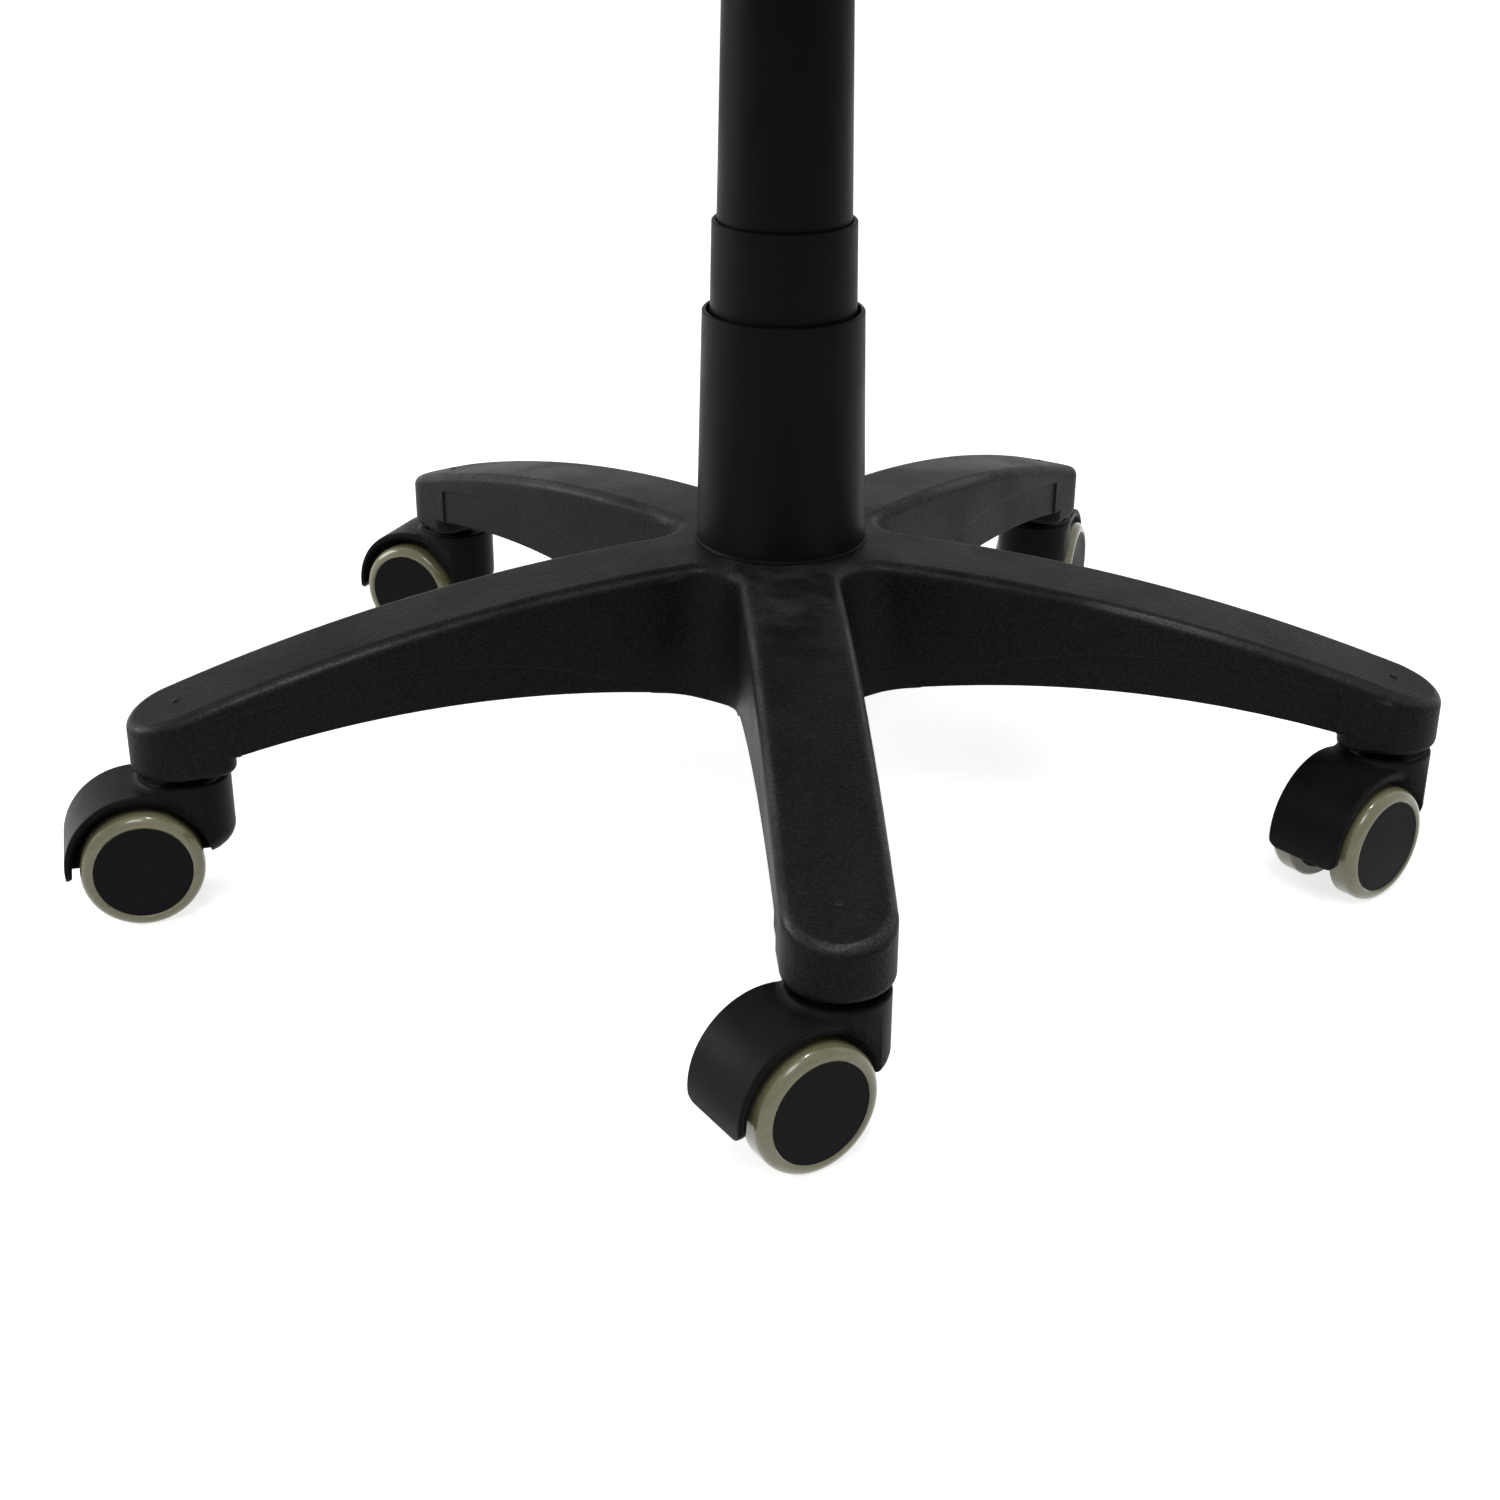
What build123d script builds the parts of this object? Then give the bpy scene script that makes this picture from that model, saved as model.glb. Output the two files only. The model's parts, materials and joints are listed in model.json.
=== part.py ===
"""Adjustable swivel stool on a moulded five-arm base with hooded twin-wheel casters.

Millimetres, +Z up. The origin lies on the column's axis at floor level, and the front arm points along -Y.
The seat stands at the height that shows the three stages of the column cover half drawn out.
"""

import os
from math import cos, pi, radians, sin, sqrt

from build123d import *

# Casters: wheels and hood
WHEEL_R = 25.0            # tread radius, so the axle's height
TRAIL = 20.0              # stem axis to axle
WHEEL_OUTER_Y = 20.9      # hub disc's face from the caster's middle
WHEEL_INNER_Y = 8.3       # hub's inner face from the caster's middle
TREAD = 4.2               # tread's thickness on the rim
TREAD_BULGE = 0.5         # tread's shoulder stands this proud of the hub disc
TREAD_SHOULDER = 4.4
TREAD_BEVEL = 1.0
DISC_STEP = 0.9           # hub disc's radius under the rim's
DISC_WALL = 2.5
RIM_WALL = 3.0
RIM_SET_BACK = 1.0        # rim's inner edge behind the hub's inner face
RIM_LIP = 0.6             # rim's shoulder over the disc's back
CORE_HUB_R = 7.5
CORE_RIB = 1.6
CORE_RIB_COUNT = 5
RIB_ROOT = 0.5            # how far a wheel's rib runs into its walls
AXLE_R = 3.0
AXLE_BEVEL = 0.5
AXLE_END_GAP = 0.5
BORE_END = 1.0            # axle bore's reach into the disc
HOOD_GAP = 3.2            # tread to the fender's inner face
HOOD_WALL = 2.8
HOOD_LIFT = 1.0           # centre of the fender's outer face above the axle
HOOD_HALF_WIDTH = 17.2
HOOD_EDGE_R = 1.2
HOOD_REAR_DROP = 1.5      # fender's lower edge behind the axle, below the axle
HOOD_FRONT_RISE = 1.0     # hood's lower edge on the stem's side, above the axle
WEB_GAP = 0.8             # web to a wheel's inner face
WEB_WALL = 2.4
AXLE_BOSS_R = 7.5
CUP_R = 19.2              # cup round the stem
CUP_RISE = 2.0            # cup's rim above the fender's top
CUP_FOOT_R = 9.0          # rounding under the cup
CUP_EDGE_R = 1.2
CUP_BLEND_R = 4.0         # cup's side into the fender
CUP_BLEND_LIMIT = 0.13    # the most that the fender's curve leaves room for, as a share of its radius
CUP_WALL = 2.6
CUP_RECESS = 2.4
STEM_BOSS_WALL = 4.0

# Trail direction of each caster, degrees from +X seen from above, arms in order from the front one
CASTERS = {"front": 209.0, "right": 216.2, "back_right": 67.3, "back_left": 154.0, "left": 191.8}

# Caster stems
STEM_R = 5.5              # in the arm's socket
STEM_PIVOT_R = 5.0        # in the hood
STEM_LENGTH = 22.0
STEM_DEPTH = 24.5         # reach into the hood
STEM_BEVEL = 1.0
COLLAR_STEP = 2.5         # collar's radius over the shank's
COLLAR = 2.2
GRIP_GROOVE = 0.9
GRIP_WIDTH = 3.0
GRIP_SPLIT = 1.8
GRIP_BELOW_END = 3.5

# Star base
STEM_CIRCLE_R = 265.0     # column axis to each caster stem
TIP_R = 20.4
TIP_DEPTH = 28.1          # at the stem
BOSS_GAP = 3.4            # arm's boss to the caster's cup
BOSS_EDGE_R = 3.0
BOSS_CORNER_R = 9.0
BOSS_SIDE = 1.0           # boss's breadth over the tip's, before the arm's sides trim it
TOP_TAPER = 0.24          # arms' half taper in plan, degrees, at the upper and the lower outline
FOOT_TAPER = 0.78
TOP_VALLEY_R = 15.6       # rounding between neighbouring arms
FOOT_VALLEY_R = 24.8
ARM_EDGE_R = 5.0
HUB_LIFT = 3.6            # hub's underside above the bosses' undersides
HUB_DEPTH = 61.5
HUB_LEDGE = 2.7           # hub's flat top outside the cover's foot
HUB_WALL = 9.0            # wall round the column's bore
HUB_SKIRT = 12.0          # hub's flat underside outside that wall
HUB_FLARE = 12.0          # run of the skirt's slope out to the arms
HUB_HOLLOW = 10.0         # width of the ring of hollows round that wall
ARM_RISE = 7.8            # bow of the arms' top line over its chord
UNDER_RISE = 9.1          # bow of the arms' underside over its chord
UNDER_START_LIFT = 7.3
UNDER_END_LIFT = 8.3
ARM_WALL = 4.0
ARM_ROOF = 4.6
RIB = 2.4
RIB_BAYS = 5
RIB_SET_BACK = 1.6
BAND = 0.8                # depth of the step along the arms' lower sides
BAND_HEIGHT = 17.0        # step's height over the underside, from its level stretch outwards
BAND_CLIMB = 12.0         # its height where it climbs
BAND_START = 14.0         # step's inner end outside the hub's skirt
BAND_CLIMB_RUN = 57.0     # skirt to the place where it climbs
BAND_LEVEL_RUN = 102.0    # skirt to its level stretch
SOCKET_WALL = 4.0
SOCKET_ROOF = 2.0
SOCKET_POCKET = 14.0

# Column, thrust bearing and gas spring
COLUMN_R = 25.0
COLUMN_WALL = 1.8
COLUMN_LENGTH = 204.0
COLUMN_DROP = 12.0        # column's end below the hub
COLUMN_FLOOR = 4.0
COLUMN_TAPER = 0.8        # radius lost over the hub's depth
COLUMN_BEVEL = 1.0
BUSH_LENGTH = 90.0
BUSH_FLANGE = 3.0
BUSH_LAND = 16.0
BUSH_RELIEF = 0.8
ROD_R = 5.0
ROD_END_R = 4.0
ROD_TAIL = 5.0            # rod's end below the column
ROD_BEVEL = 0.5
RACE = 2.0
RACE_R = 11.0
BALL_R = 2.0
BALL_COUNT = 10
BALL_CIRCLE_R = 7.6
CAGE = 1.6
BUMP_STOP = 12.0
BUMP_STOP_R = 11.5
BUMP_STOP_TAPER = 2.5
CLIP_WASHER = 1.0
CLIP = 1.2
CLIP_R = 8.0
CLIP_GROOVE = 1.0
PISTON = 12.0
PISTON_RISE = 172.0       # piston's lower face above the upper race
SEAL_WIDTH = 3.0
SEAL_DEPTH = 1.8
CYLINDER_R = 14.0
CYLINDER_WALL = 2.0
CYLINDER_LENGTH = 215.0
CYLINDER_HEAD = 22.0
CYLINDER_LIP = 1.5
HEAD_TAPER = 0.7          # radius lost over the seat socket
GLAND = 14.0
PIN_R = 3.0
PIN_LENGTH = 19.0
PIN_BEVEL = 0.6
PIN_STAND = 4.7           # release pin above the cylinder

# Telescopic column cover
COVER_BOTTOM_LENGTH = 100.9
COVER_BOTTOM_TAPER = 1.36  # degrees, as the other stages' tapers
COVER_WALL = 1.7
COVER_FLOOR = 2.0
COVER_BEAD = 0.5          # bead round the lower stage's foot, and the bevel of each rim
COVER_BEAD_RISE = 1.5
COVER_RIM_GAP = 1.7       # lower stage's rim to the middle stage
COVER_FOOT_STEP = 0.5     # middle stage's foot over the lower stage's mouth, in radius
COVER_MIDDLE_STAND = 37.4  # middle stage's rim over the lower stage's rim
COVER_MIDDLE_LENGTH = 90.8
COVER_MIDDLE_TAPER = 1.0
COVER_STAGE_GAP = 0.45    # middle stage's rim to the upper stage
COVER_TOP_STAND = 95.2    # upper stage's top over the middle stage's rim
COVER_TOP_LENGTH = 136.0
COVER_TOP_TAPER = 1.1     # above the middle stage, and straight below it
COVER_TOP_WALL = 1.2
COVER_COLUMN_GAP = 2.0    # upper stage's bore to the column

# Seat plate and release lever
SOCKET_TUBE_WALL = 5.0
SOCKET_LENGTH = 23.0
PAN_LIFT = 5.0            # pan's floor above the socket's lower end
SHEET = 2.5
PAN_LENGTH = 110.0
PAN_WIDTH = 84.0
PAN_CORNER_R = 12.0
PAN_BEND_R = 5.0
PAN_HEADROOM = 5.5        # lever's boss to the board
FLANGE_X = 25.0           # flange outside the pan, along the lever and across it
FLANGE_Y = 28.0
FLANGE_CORNER_R = 18.0
BOLT_OUT_X = 12.0         # bolts outside the pan, along the lever and across it
BOLT_OUT_Y = 14.0
BOLT_R = 3.0
BOLT_LENGTH = 14.0
BOLT_HEAD = 4.0
BOLT_HEAD_R = 5.6
LEVER_R = 4.0
LEVER_LIFT = 7.0          # lever's axis above the cylinder's end
LEVER_PIVOT_SET_IN = 13.0  # pivot inside the pan's end
LEVER_TONGUE_OVER = 8.0   # tongue's end past the release pin's axis
LEVER_TONGUE = 4.0
LEVER_HALF_WIDTH = 5.5
LEVER_BOSS_R = 6.0
LEVER_NECK = 13.0         # straight stretch outside the pan
LEVER_DIP_RUN = 44.0
LEVER_DROP = 18.0
LEVER_REACH = 24.0        # lever's end outside the seat's edge
LEVER_BEND_R = 14.0
LEVER_SLOT = 12.0
PIVOT_PIN_R = 2.0
PIVOT_HEAD_R = 3.0
PIVOT_HEAD = 2.0
EAR = 3.0
EAR_HALF_LENGTH = 6.0
GRIP_LENGTH = 59.0        # on the lever
GRIP_R = 6.6
GRIP_WAIST_R = 7.0
GRIP_FAT_R = 8.2
GRIP_BEVEL = 1.0
GRIP_END_WALL = 3.0

# Seat
SEAT_R = 181.0
SEAT_PADDING = 16.0       # padding outside the board's edge
BOARD = 12.0
BOARD_BEVEL = 1.5
TEE_R = 4.0
TEE_FLANGE_R = 9.0
TEE_FLANGE = 1.2
TEE_LENGTH = 9.0
CUSHION_FOOT = 7.0        # padding round the board's lower edge
CUSHION_SIDE = 58.0       # height of the side
CUSHION_TURN = 9.0        # set-in of the side's upper edge
CUSHION_SHOULDER = 14.0
CUSHION_SHOULDER_RISE = 11.2
CUSHION_SHOULDER_BOW = 3.0
CUSHION_CROWN = 9.0

# Clearances
PRESS_FIT = 0.02
RUNNING_FIT = 0.05
PISTON_FIT = 0.10
LOOSE_FIT = 0.3

# How far a cutting shape passes the face that it cuts
MARGIN = 5.0

# Places and sizes that follow from the values above
AXLE_Z = WHEEL_R
RIM_R = WHEEL_R - TREAD
DISC_R = RIM_R - DISC_STEP
DISC_BACK = WHEEL_OUTER_Y - DISC_WALL
BORE_END_Y = DISC_BACK + BORE_END
WEB_HALF = WHEEL_INNER_Y - WEB_GAP
WELL_R = WHEEL_R + HOOD_GAP
HOOD_R = WELL_R + HOOD_WALL
HOOD_REAR_Z = AXLE_Z - HOOD_REAR_DROP
HOOD_FRONT_Z = AXLE_Z + HOOD_FRONT_RISE
CUP_TOP = AXLE_Z + HOOD_LIFT + HOOD_R + CUP_RISE
STEM_BOSS_R = STEM_PIVOT_R + STEM_BOSS_WALL
COLLAR_R = STEM_R + COLLAR_STEP
BASE_BOTTOM = CUP_TOP + BOSS_GAP
TIP_TOP = BASE_BOTTOM + TIP_DEPTH
HUB_BOTTOM = BASE_BOTTOM + HUB_LIFT
HUB_TOP = HUB_BOTTOM + HUB_DEPTH
COLUMN_BOTTOM = HUB_BOTTOM - COLUMN_DROP
COLUMN_TOP = COLUMN_BOTTOM + COLUMN_LENGTH
COLUMN_BORE_R = COLUMN_R - COLUMN_WALL - COLUMN_TAPER
BEARING_Z = COLUMN_BOTTOM + COLUMN_FLOOR
BALL_Z = BEARING_Z + RACE + BALL_R
UPPER_RACE_Z = BEARING_Z + RACE + 2 * BALL_R
BUMP_STOP_Z = UPPER_RACE_Z + RACE
PISTON_Z = BUMP_STOP_Z + PISTON_RISE
CLIP_TOP = COLUMN_BOTTOM - CLIP_WASHER - PRESS_FIT
COVER_BOTTOM_TOP = HUB_TOP + COVER_BOTTOM_LENGTH
COVER_MIDDLE_TOP = COVER_BOTTOM_TOP + COVER_MIDDLE_STAND
COVER_TOP_TOP = COVER_MIDDLE_TOP + COVER_TOP_STAND
COVER_TOP_R = COLUMN_R + COVER_COLUMN_GAP + COVER_TOP_WALL
COVER_MIDDLE_R = COVER_TOP_R + COVER_STAGE_GAP + COVER_WALL
COVER_MOUTH_R = COVER_MIDDLE_R + COVER_MIDDLE_STAND * sin(radians(COVER_MIDDLE_TAPER)) + COVER_RIM_GAP
COVER_RIM_R = COVER_MOUTH_R + COVER_WALL
COVER_BOTTOM_R = COVER_RIM_R + COVER_BOTTOM_LENGTH * sin(radians(COVER_BOTTOM_TAPER))
HUB_FLAT_R = COVER_BOTTOM_R + COVER_BEAD + HUB_LEDGE
HUB_TUBE_R = COLUMN_R + HUB_WALL
HUB_SKIRT_R = HUB_TUBE_R + HUB_SKIRT
UNDER_START_R = HUB_SKIRT_R + HUB_FLARE
POCKET_START_R = HUB_TUBE_R + HUB_HOLLOW + ARM_WALL
SOCKET_R = CYLINDER_R + SOCKET_TUBE_WALL
SOCKET_TOP = COVER_TOP_TOP + SOCKET_LENGTH
CYLINDER_TOP = SOCKET_TOP
CYLINDER_BOTTOM = CYLINDER_TOP - CYLINDER_LENGTH
CYLINDER_BORE_R = CYLINDER_R - CYLINDER_WALL
LEVER_Z = CYLINDER_TOP + LEVER_LIFT
LEVER_LOW_Z = LEVER_Z - LEVER_DROP
LEVER_PIVOT_X = PAN_LENGTH / 2 - LEVER_PIVOT_SET_IN
LEVER_BEND_X = PAN_LENGTH / 2 + LEVER_NECK
LEVER_LOW_X = LEVER_BEND_X + LEVER_DIP_RUN
LEVER_END_X = SEAT_R + LEVER_REACH
GRIP_START_X = LEVER_END_X - GRIP_LENGTH
EAR_TOP = LEVER_Z + LEVER_BOSS_R
PAN_FLOOR = COVER_TOP_TOP + PAN_LIFT
FLANGE_TOP = EAR_TOP + PAN_HEADROOM
BOARD_TOP = FLANGE_TOP + BOARD
BOARD_R = SEAT_R - SEAT_PADDING

ARM_COUNT = len(CASTERS)
ARM_STEP = 2 * pi / ARM_COUNT
FIRST_ARM = -pi / 2


def polar(radius, angle):
    """Point in plan at a radius and an angle in radians."""
    return Vector(radius * cos(angle), radius * sin(angle))


def turned(*points):
    """Solid turned about Z from corner points (radius, height)."""
    return revolve(Plane.XZ * Polygon(*points, align=None), Axis.Z)


def turned_outline(*edges):
    """Solid turned about Z from the edges of a closed outline in the radius-height plane."""
    return revolve(Plane.XZ * make_face(list(edges)), Axis.Z)


def tube(outer, inner, low, high):
    """Straight tube about Z between two heights."""
    return turned((inner, low), (outer, low), (outer, high), (inner, high))


def across(radius, half_width, x, z, y=0.0):
    """Round bar along Y about a centre in the X-Z plane."""
    return Pos(x, y, z) * Cylinder(radius, 2 * half_width, rotation=(90, 0, 0))


def on_arms(shape):
    """One copy of a shape made at the +X arm for each arm of the base."""
    return [Rot(0, 0, (FIRST_ARM + k * ARM_STEP) * 180 / pi) * shape for k in range(ARM_COUNT)]


def arch(start, end, rise):
    """Height function of the circular arch that bows `rise` over the chord from start to end."""
    chord = Vector(*end) - Vector(*start)
    radius = (chord.length ** 2 / 4 + rise ** 2) / (2 * rise)
    normal = Vector(-chord.Y, chord.X).normalized()
    centre = (Vector(*start) + Vector(*end)) / 2 - normal * (radius - rise)
    return lambda r: centre.Y + sqrt(radius ** 2 - (r - centre.X) ** 2)


def arch_edge(height, start_r, end_r, lift=0.0):
    """Arc of an arch between two radii, moved up by `lift`."""
    stations = (start_r, (start_r + end_r) / 2, end_r)
    return ThreePointArc(*[(r, height(r) + lift) for r in stations])


ARM_END_R = STEM_CIRCLE_R + TIP_R + MARGIN
BOSS_START_R = STEM_CIRCLE_R - TIP_R
top_height = arch((HUB_FLAT_R, HUB_TOP), (STEM_CIRCLE_R, TIP_TOP), ARM_RISE)
under_start = (UNDER_START_R, BASE_BOTTOM + UNDER_START_LIFT)
under_end = (BOSS_START_R, BASE_BOTTOM + UNDER_END_LIFT)
under_height = arch(under_start, under_end, UNDER_RISE)


def star_outline(height, tip_r, taper, valley_r):
    """Plan of the arms at one height: tapered sides, round tips and round valleys between them."""
    lean = radians(taper)
    normal = pi / 2 - lean
    side_distance = STEM_CIRCLE_R * sin(lean) + tip_r
    valley_distance = (side_distance + valley_r) / cos(normal - ARM_STEP / 2)
    edges = []
    for k in range(ARM_COUNT):
        heading = FIRST_ARM + k * ARM_STEP
        tip = polar(STEM_CIRCLE_R, heading)
        before = polar(valley_distance, heading - ARM_STEP / 2)
        after = polar(valley_distance, heading + ARM_STEP / 2)
        side_start = before - polar(valley_r, heading - normal)
        tip_start = tip + polar(tip_r, heading - normal)
        tip_end = tip + polar(tip_r, heading + normal)
        side_end = after - polar(valley_r, heading + normal)
        valley_middle = after - polar(valley_r, heading + ARM_STEP / 2)
        next_start = after - polar(valley_r, heading + ARM_STEP - normal)
        edges += [
            Line(side_start, tip_start),
            ThreePointArc(tip_start, tip + polar(tip_r, heading), tip_end),
            Line(tip_end, side_end),
            ThreePointArc(side_end, valley_middle, next_start),
        ]
    return Pos(0, 0, height) * make_face(edges)


def star_prism(inset):
    """Arms with drafted sides, set in all round by `inset`."""
    foot = star_outline(BASE_BOTTOM - MARGIN, TIP_R - inset, FOOT_TAPER, FOOT_VALLEY_R + inset)
    top = star_outline(HUB_TOP + MARGIN, TIP_R - inset, TOP_TAPER, TOP_VALLEY_R + inset)
    return loft([foot, top], ruled=True)


def arm_ribs():
    """Plates of the +X arm's underside: one along the middle and a zigzag from wall to wall."""
    height = 2 * HUB_TOP
    middle_r = (POCKET_START_R + BOSS_START_R) / 2
    plates = [Pos(middle_r, 0, 0) * Box(BOSS_START_R - POCKET_START_R + 2 * MARGIN, RIB, height)]
    bay = (BOSS_START_R - POCKET_START_R) / RIB_BAYS
    for k in range(RIB_BAYS):
        side = TIP_R if k % 2 else -TIP_R
        near = Vector(POCKET_START_R + k * bay, side)
        far = Vector(POCKET_START_R + (k + 1) * bay, -side)
        run = far - near
        middle = (near + far) / 2
        turn = Vector(1, 0, 0).get_signed_angle(run, Vector(0, 0, 1))
        plate = Box(run.length + 2 * MARGIN, RIB, height)
        plates.append(Pos(middle.X, middle.Y, 0) * Rot(0, 0, turn) * plate)
    return plates


def base_star():
    """Moulded base: arched hollow arms, hub with a tapered bore, and a ribbed socket in each tip."""
    boss_roof = under_height(BOSS_START_R)
    envelope = turned_outline(
        Line((0, HUB_BOTTOM), (HUB_SKIRT_R, HUB_BOTTOM)),
        Line((HUB_SKIRT_R, HUB_BOTTOM), under_start),
        arch_edge(under_height, UNDER_START_R, BOSS_START_R),
        Line((BOSS_START_R, boss_roof), (ARM_END_R, boss_roof)),
        Line((ARM_END_R, boss_roof), (ARM_END_R, top_height(ARM_END_R))),
        arch_edge(top_height, ARM_END_R, HUB_FLAT_R),
        Line((HUB_FLAT_R, HUB_TOP), (0, HUB_TOP)),
        Line((0, HUB_TOP), (0, HUB_BOTTOM)),
    )
    body = star_prism(0) & (envelope + on_arms(tip_boss()))
    crest = body.faces().filter_by(GeomType.REVOLUTION).sort_by(Axis.Z)[-1]
    body = fillet(crest.edges().filter_by(GeomType.BSPLINE), ARM_EDGE_R)
    soles = body.faces().filter_by(GeomType.PLANE).group_by(Axis.Z)[0]
    body = fillet(soles.edges(), BOSS_EDGE_R)
    body -= side_band()
    body -= on_arms(arm_pockets())
    body -= hub_pockets()
    body -= hub_bore()
    body -= on_arms(Pos(STEM_CIRCLE_R, 0, 0) * tip_socket())
    return body


def tip_boss():
    """Block under the tip of the +X arm whose inner corners are rounded in plan."""
    width = 2 * TIP_R + BOSS_SIDE
    run = ARM_END_R - BOSS_START_R + BOSS_CORNER_R + MARGIN
    block = Pos(BOSS_START_R + run / 2, 0, BASE_BOTTOM + TIP_DEPTH / 4) * Box(run, width, TIP_DEPTH / 2)
    return fillet(block.edges().filter_by(Axis.Z).group_by(Axis.X)[0], BOSS_CORNER_R)


def side_band():
    """Cutter for the shallow step along the lower sides of the arms, which runs out towards the hub."""
    start = UNDER_START_R + BAND_START
    climb = UNDER_START_R + BAND_CLIMB_RUN
    level = UNDER_START_R + BAND_LEVEL_RUN
    end = BOSS_START_R
    line = Spline(
        (start, under_height(start)),
        (climb, under_height(climb) + BAND_CLIMB),
        (level, under_height(level) + BAND_HEIGHT),
        (end, under_height(end) + BAND_HEIGHT),
    )
    zone = turned_outline(
        line,
        Line((end, under_height(end) + BAND_HEIGHT), (end, 0)),
        Line((end, 0), (start, 0)),
        Line((start, 0), (start, under_height(start))),
    )
    return zone - star_prism(BAND)


def arm_slab(*edges):
    """Solid as wide as the +X arm's hollow, from the edges of its outline in the arm's upright plane."""
    return extrude(Plane.XZ * make_face(list(edges)), TIP_R - ARM_WALL, both=True)


def arm_pockets():
    """Hollows under the +X arm between its ribs, whose lower edges stand back from the arm's underside."""
    start = POCKET_START_R
    end = BOSS_START_R - ARM_WALL
    hollow = arm_slab(
        Line((start, 0), (end, 0)),
        Line((end, 0), (end, top_height(end) - ARM_ROOF)),
        arch_edge(top_height, end, start, -ARM_ROOF),
        Line((start, top_height(start) - ARM_ROOF), (start, 0)),
    )
    set_back = arm_slab(
        Line((start, 0), (end, 0)),
        Line((end, 0), (end, under_height(end) + RIB_SET_BACK)),
        arch_edge(under_height, end, UNDER_START_R, RIB_SET_BACK),
        Line((UNDER_START_R, under_start[1] + RIB_SET_BACK), (start, HUB_BOTTOM + RIB_SET_BACK)),
        Line((start, HUB_BOTTOM + RIB_SET_BACK), (start, 0)),
    )
    return hollow - arm_ribs() + set_back


def hub_pockets():
    """Ring of hollows between the hub's tube and its outer wall."""
    ring = tube(POCKET_START_R - ARM_WALL, HUB_TUBE_R, 0, HUB_TOP - ARM_ROOF)
    plate = Pos(STEM_CIRCLE_R / 2, 0, 0) * Box(STEM_CIRCLE_R, RIB, 2 * HUB_TOP)
    return ring - on_arms(plate)


def hub_bore():
    """Tapered bore that grips the column."""
    fit = COLUMN_R + PRESS_FIT
    return turned(
        (0, HUB_BOTTOM - MARGIN),
        (fit - COLUMN_TAPER, HUB_BOTTOM - MARGIN),
        (fit - COLUMN_TAPER, HUB_BOTTOM),
        (fit, HUB_TOP),
        (fit, HUB_TOP + MARGIN),
        (0, HUB_TOP + MARGIN),
    )


def tip_socket():
    """Cutter of one tip: the stem's blind bore and the ribbed hollow round it."""
    bore_r = STEM_R + PRESS_FIT
    bore = Pos(0, 0, BASE_BOTTOM) * Cylinder(bore_r, 2 * (STEM_LENGTH + SOCKET_ROOF))
    ring = tube(TIP_R - ARM_WALL, bore_r + SOCKET_WALL, BASE_BOTTOM - MARGIN, BASE_BOTTOM + SOCKET_POCKET)
    rib = Box(2 * TIP_R, RIB, 2 * HUB_TOP)
    ribs = [Rot(0, 0, turn) * rib for turn in (45, 135)]
    return bore + (ring - ribs)


# Caster pieces, made with the stem on the Z axis and the wheels trailing along +X


def wheel_place(side):
    """Plane on the axle whose normal points out of the wheel on one side of the caster."""
    return Plane((TRAIL, 0, AXLE_Z), x_dir=(1, 0, 0), z_dir=(0, side, 0))


def wheel_core(side):
    """Wheel centre: flat outer disc, rim, hub with a blind bore for the axle, and ribs behind the disc."""
    bore_r = AXLE_R + RUNNING_FIT
    rim_inner = RIM_R - RIM_WALL
    rim_start = WHEEL_INNER_Y + RIM_SET_BACK
    lip = DISC_BACK + RIM_LIP
    core = turned(
        (0, BORE_END_Y),
        (bore_r, BORE_END_Y),
        (bore_r, WHEEL_INNER_Y),
        (CORE_HUB_R, WHEEL_INNER_Y),
        (CORE_HUB_R, DISC_BACK),
        (rim_inner, DISC_BACK),
        (rim_inner, rim_start),
        (RIM_R, rim_start),
        (RIM_R, lip),
        (DISC_R, lip),
        (DISC_R, WHEEL_OUTER_Y),
        (0, WHEEL_OUTER_Y),
    )
    rib_run = rim_inner - CORE_HUB_R + 2 * RIB_ROOT
    rib_deep = DISC_BACK - rim_start + RIB_ROOT
    rib_y = DISC_BACK + RIB_ROOT - rib_deep / 2
    rib = Pos((rim_inner + CORE_HUB_R) / 2, 0, rib_y) * Box(rib_run, CORE_RIB, rib_deep)
    core += [Rot(0, 0, 360 * k / CORE_RIB_COUNT) * rib for k in range(CORE_RIB_COUNT)]
    return wheel_place(side).location * core


def wheel_tread(side):
    """Soft tread moulded round the rim, with a full round shoulder on its outer side."""
    bore = RIM_R + PRESS_FIT
    lip_r = DISC_R + PRESS_FIT
    lip = DISC_BACK + RIM_LIP + PRESS_FIT
    inner = WHEEL_INNER_Y + RIM_SET_BACK
    outer = WHEEL_OUTER_Y + TREAD_BULGE
    turn_r = WHEEL_R - TREAD_SHOULDER
    turn_y = outer - TREAD_SHOULDER
    reach = TREAD_SHOULDER * cos(pi / 4)
    tread = turned_outline(
        Line((bore, inner), (WHEEL_R - TREAD_BEVEL, inner)),
        Line((WHEEL_R - TREAD_BEVEL, inner), (WHEEL_R, inner + TREAD_BEVEL)),
        Line((WHEEL_R, inner + TREAD_BEVEL), (WHEEL_R, turn_y)),
        ThreePointArc((WHEEL_R, turn_y), (turn_r + reach, turn_y + reach), (turn_r, outer)),
        Line((turn_r, outer), (lip_r, WHEEL_OUTER_Y)),
        Line((lip_r, WHEEL_OUTER_Y), (lip_r, lip)),
        Line((lip_r, lip), (bore, lip)),
        Line((bore, lip), (bore, inner)),
    )
    return wheel_place(side).location * tread


def caster_axle():
    """Steel pin through the web that carries both wheels."""
    pin = across(AXLE_R, BORE_END_Y - AXLE_END_GAP, TRAIL, AXLE_Z)
    return chamfer(pin.edges().filter_by(GeomType.CIRCLE), AXLE_BEVEL)


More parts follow.
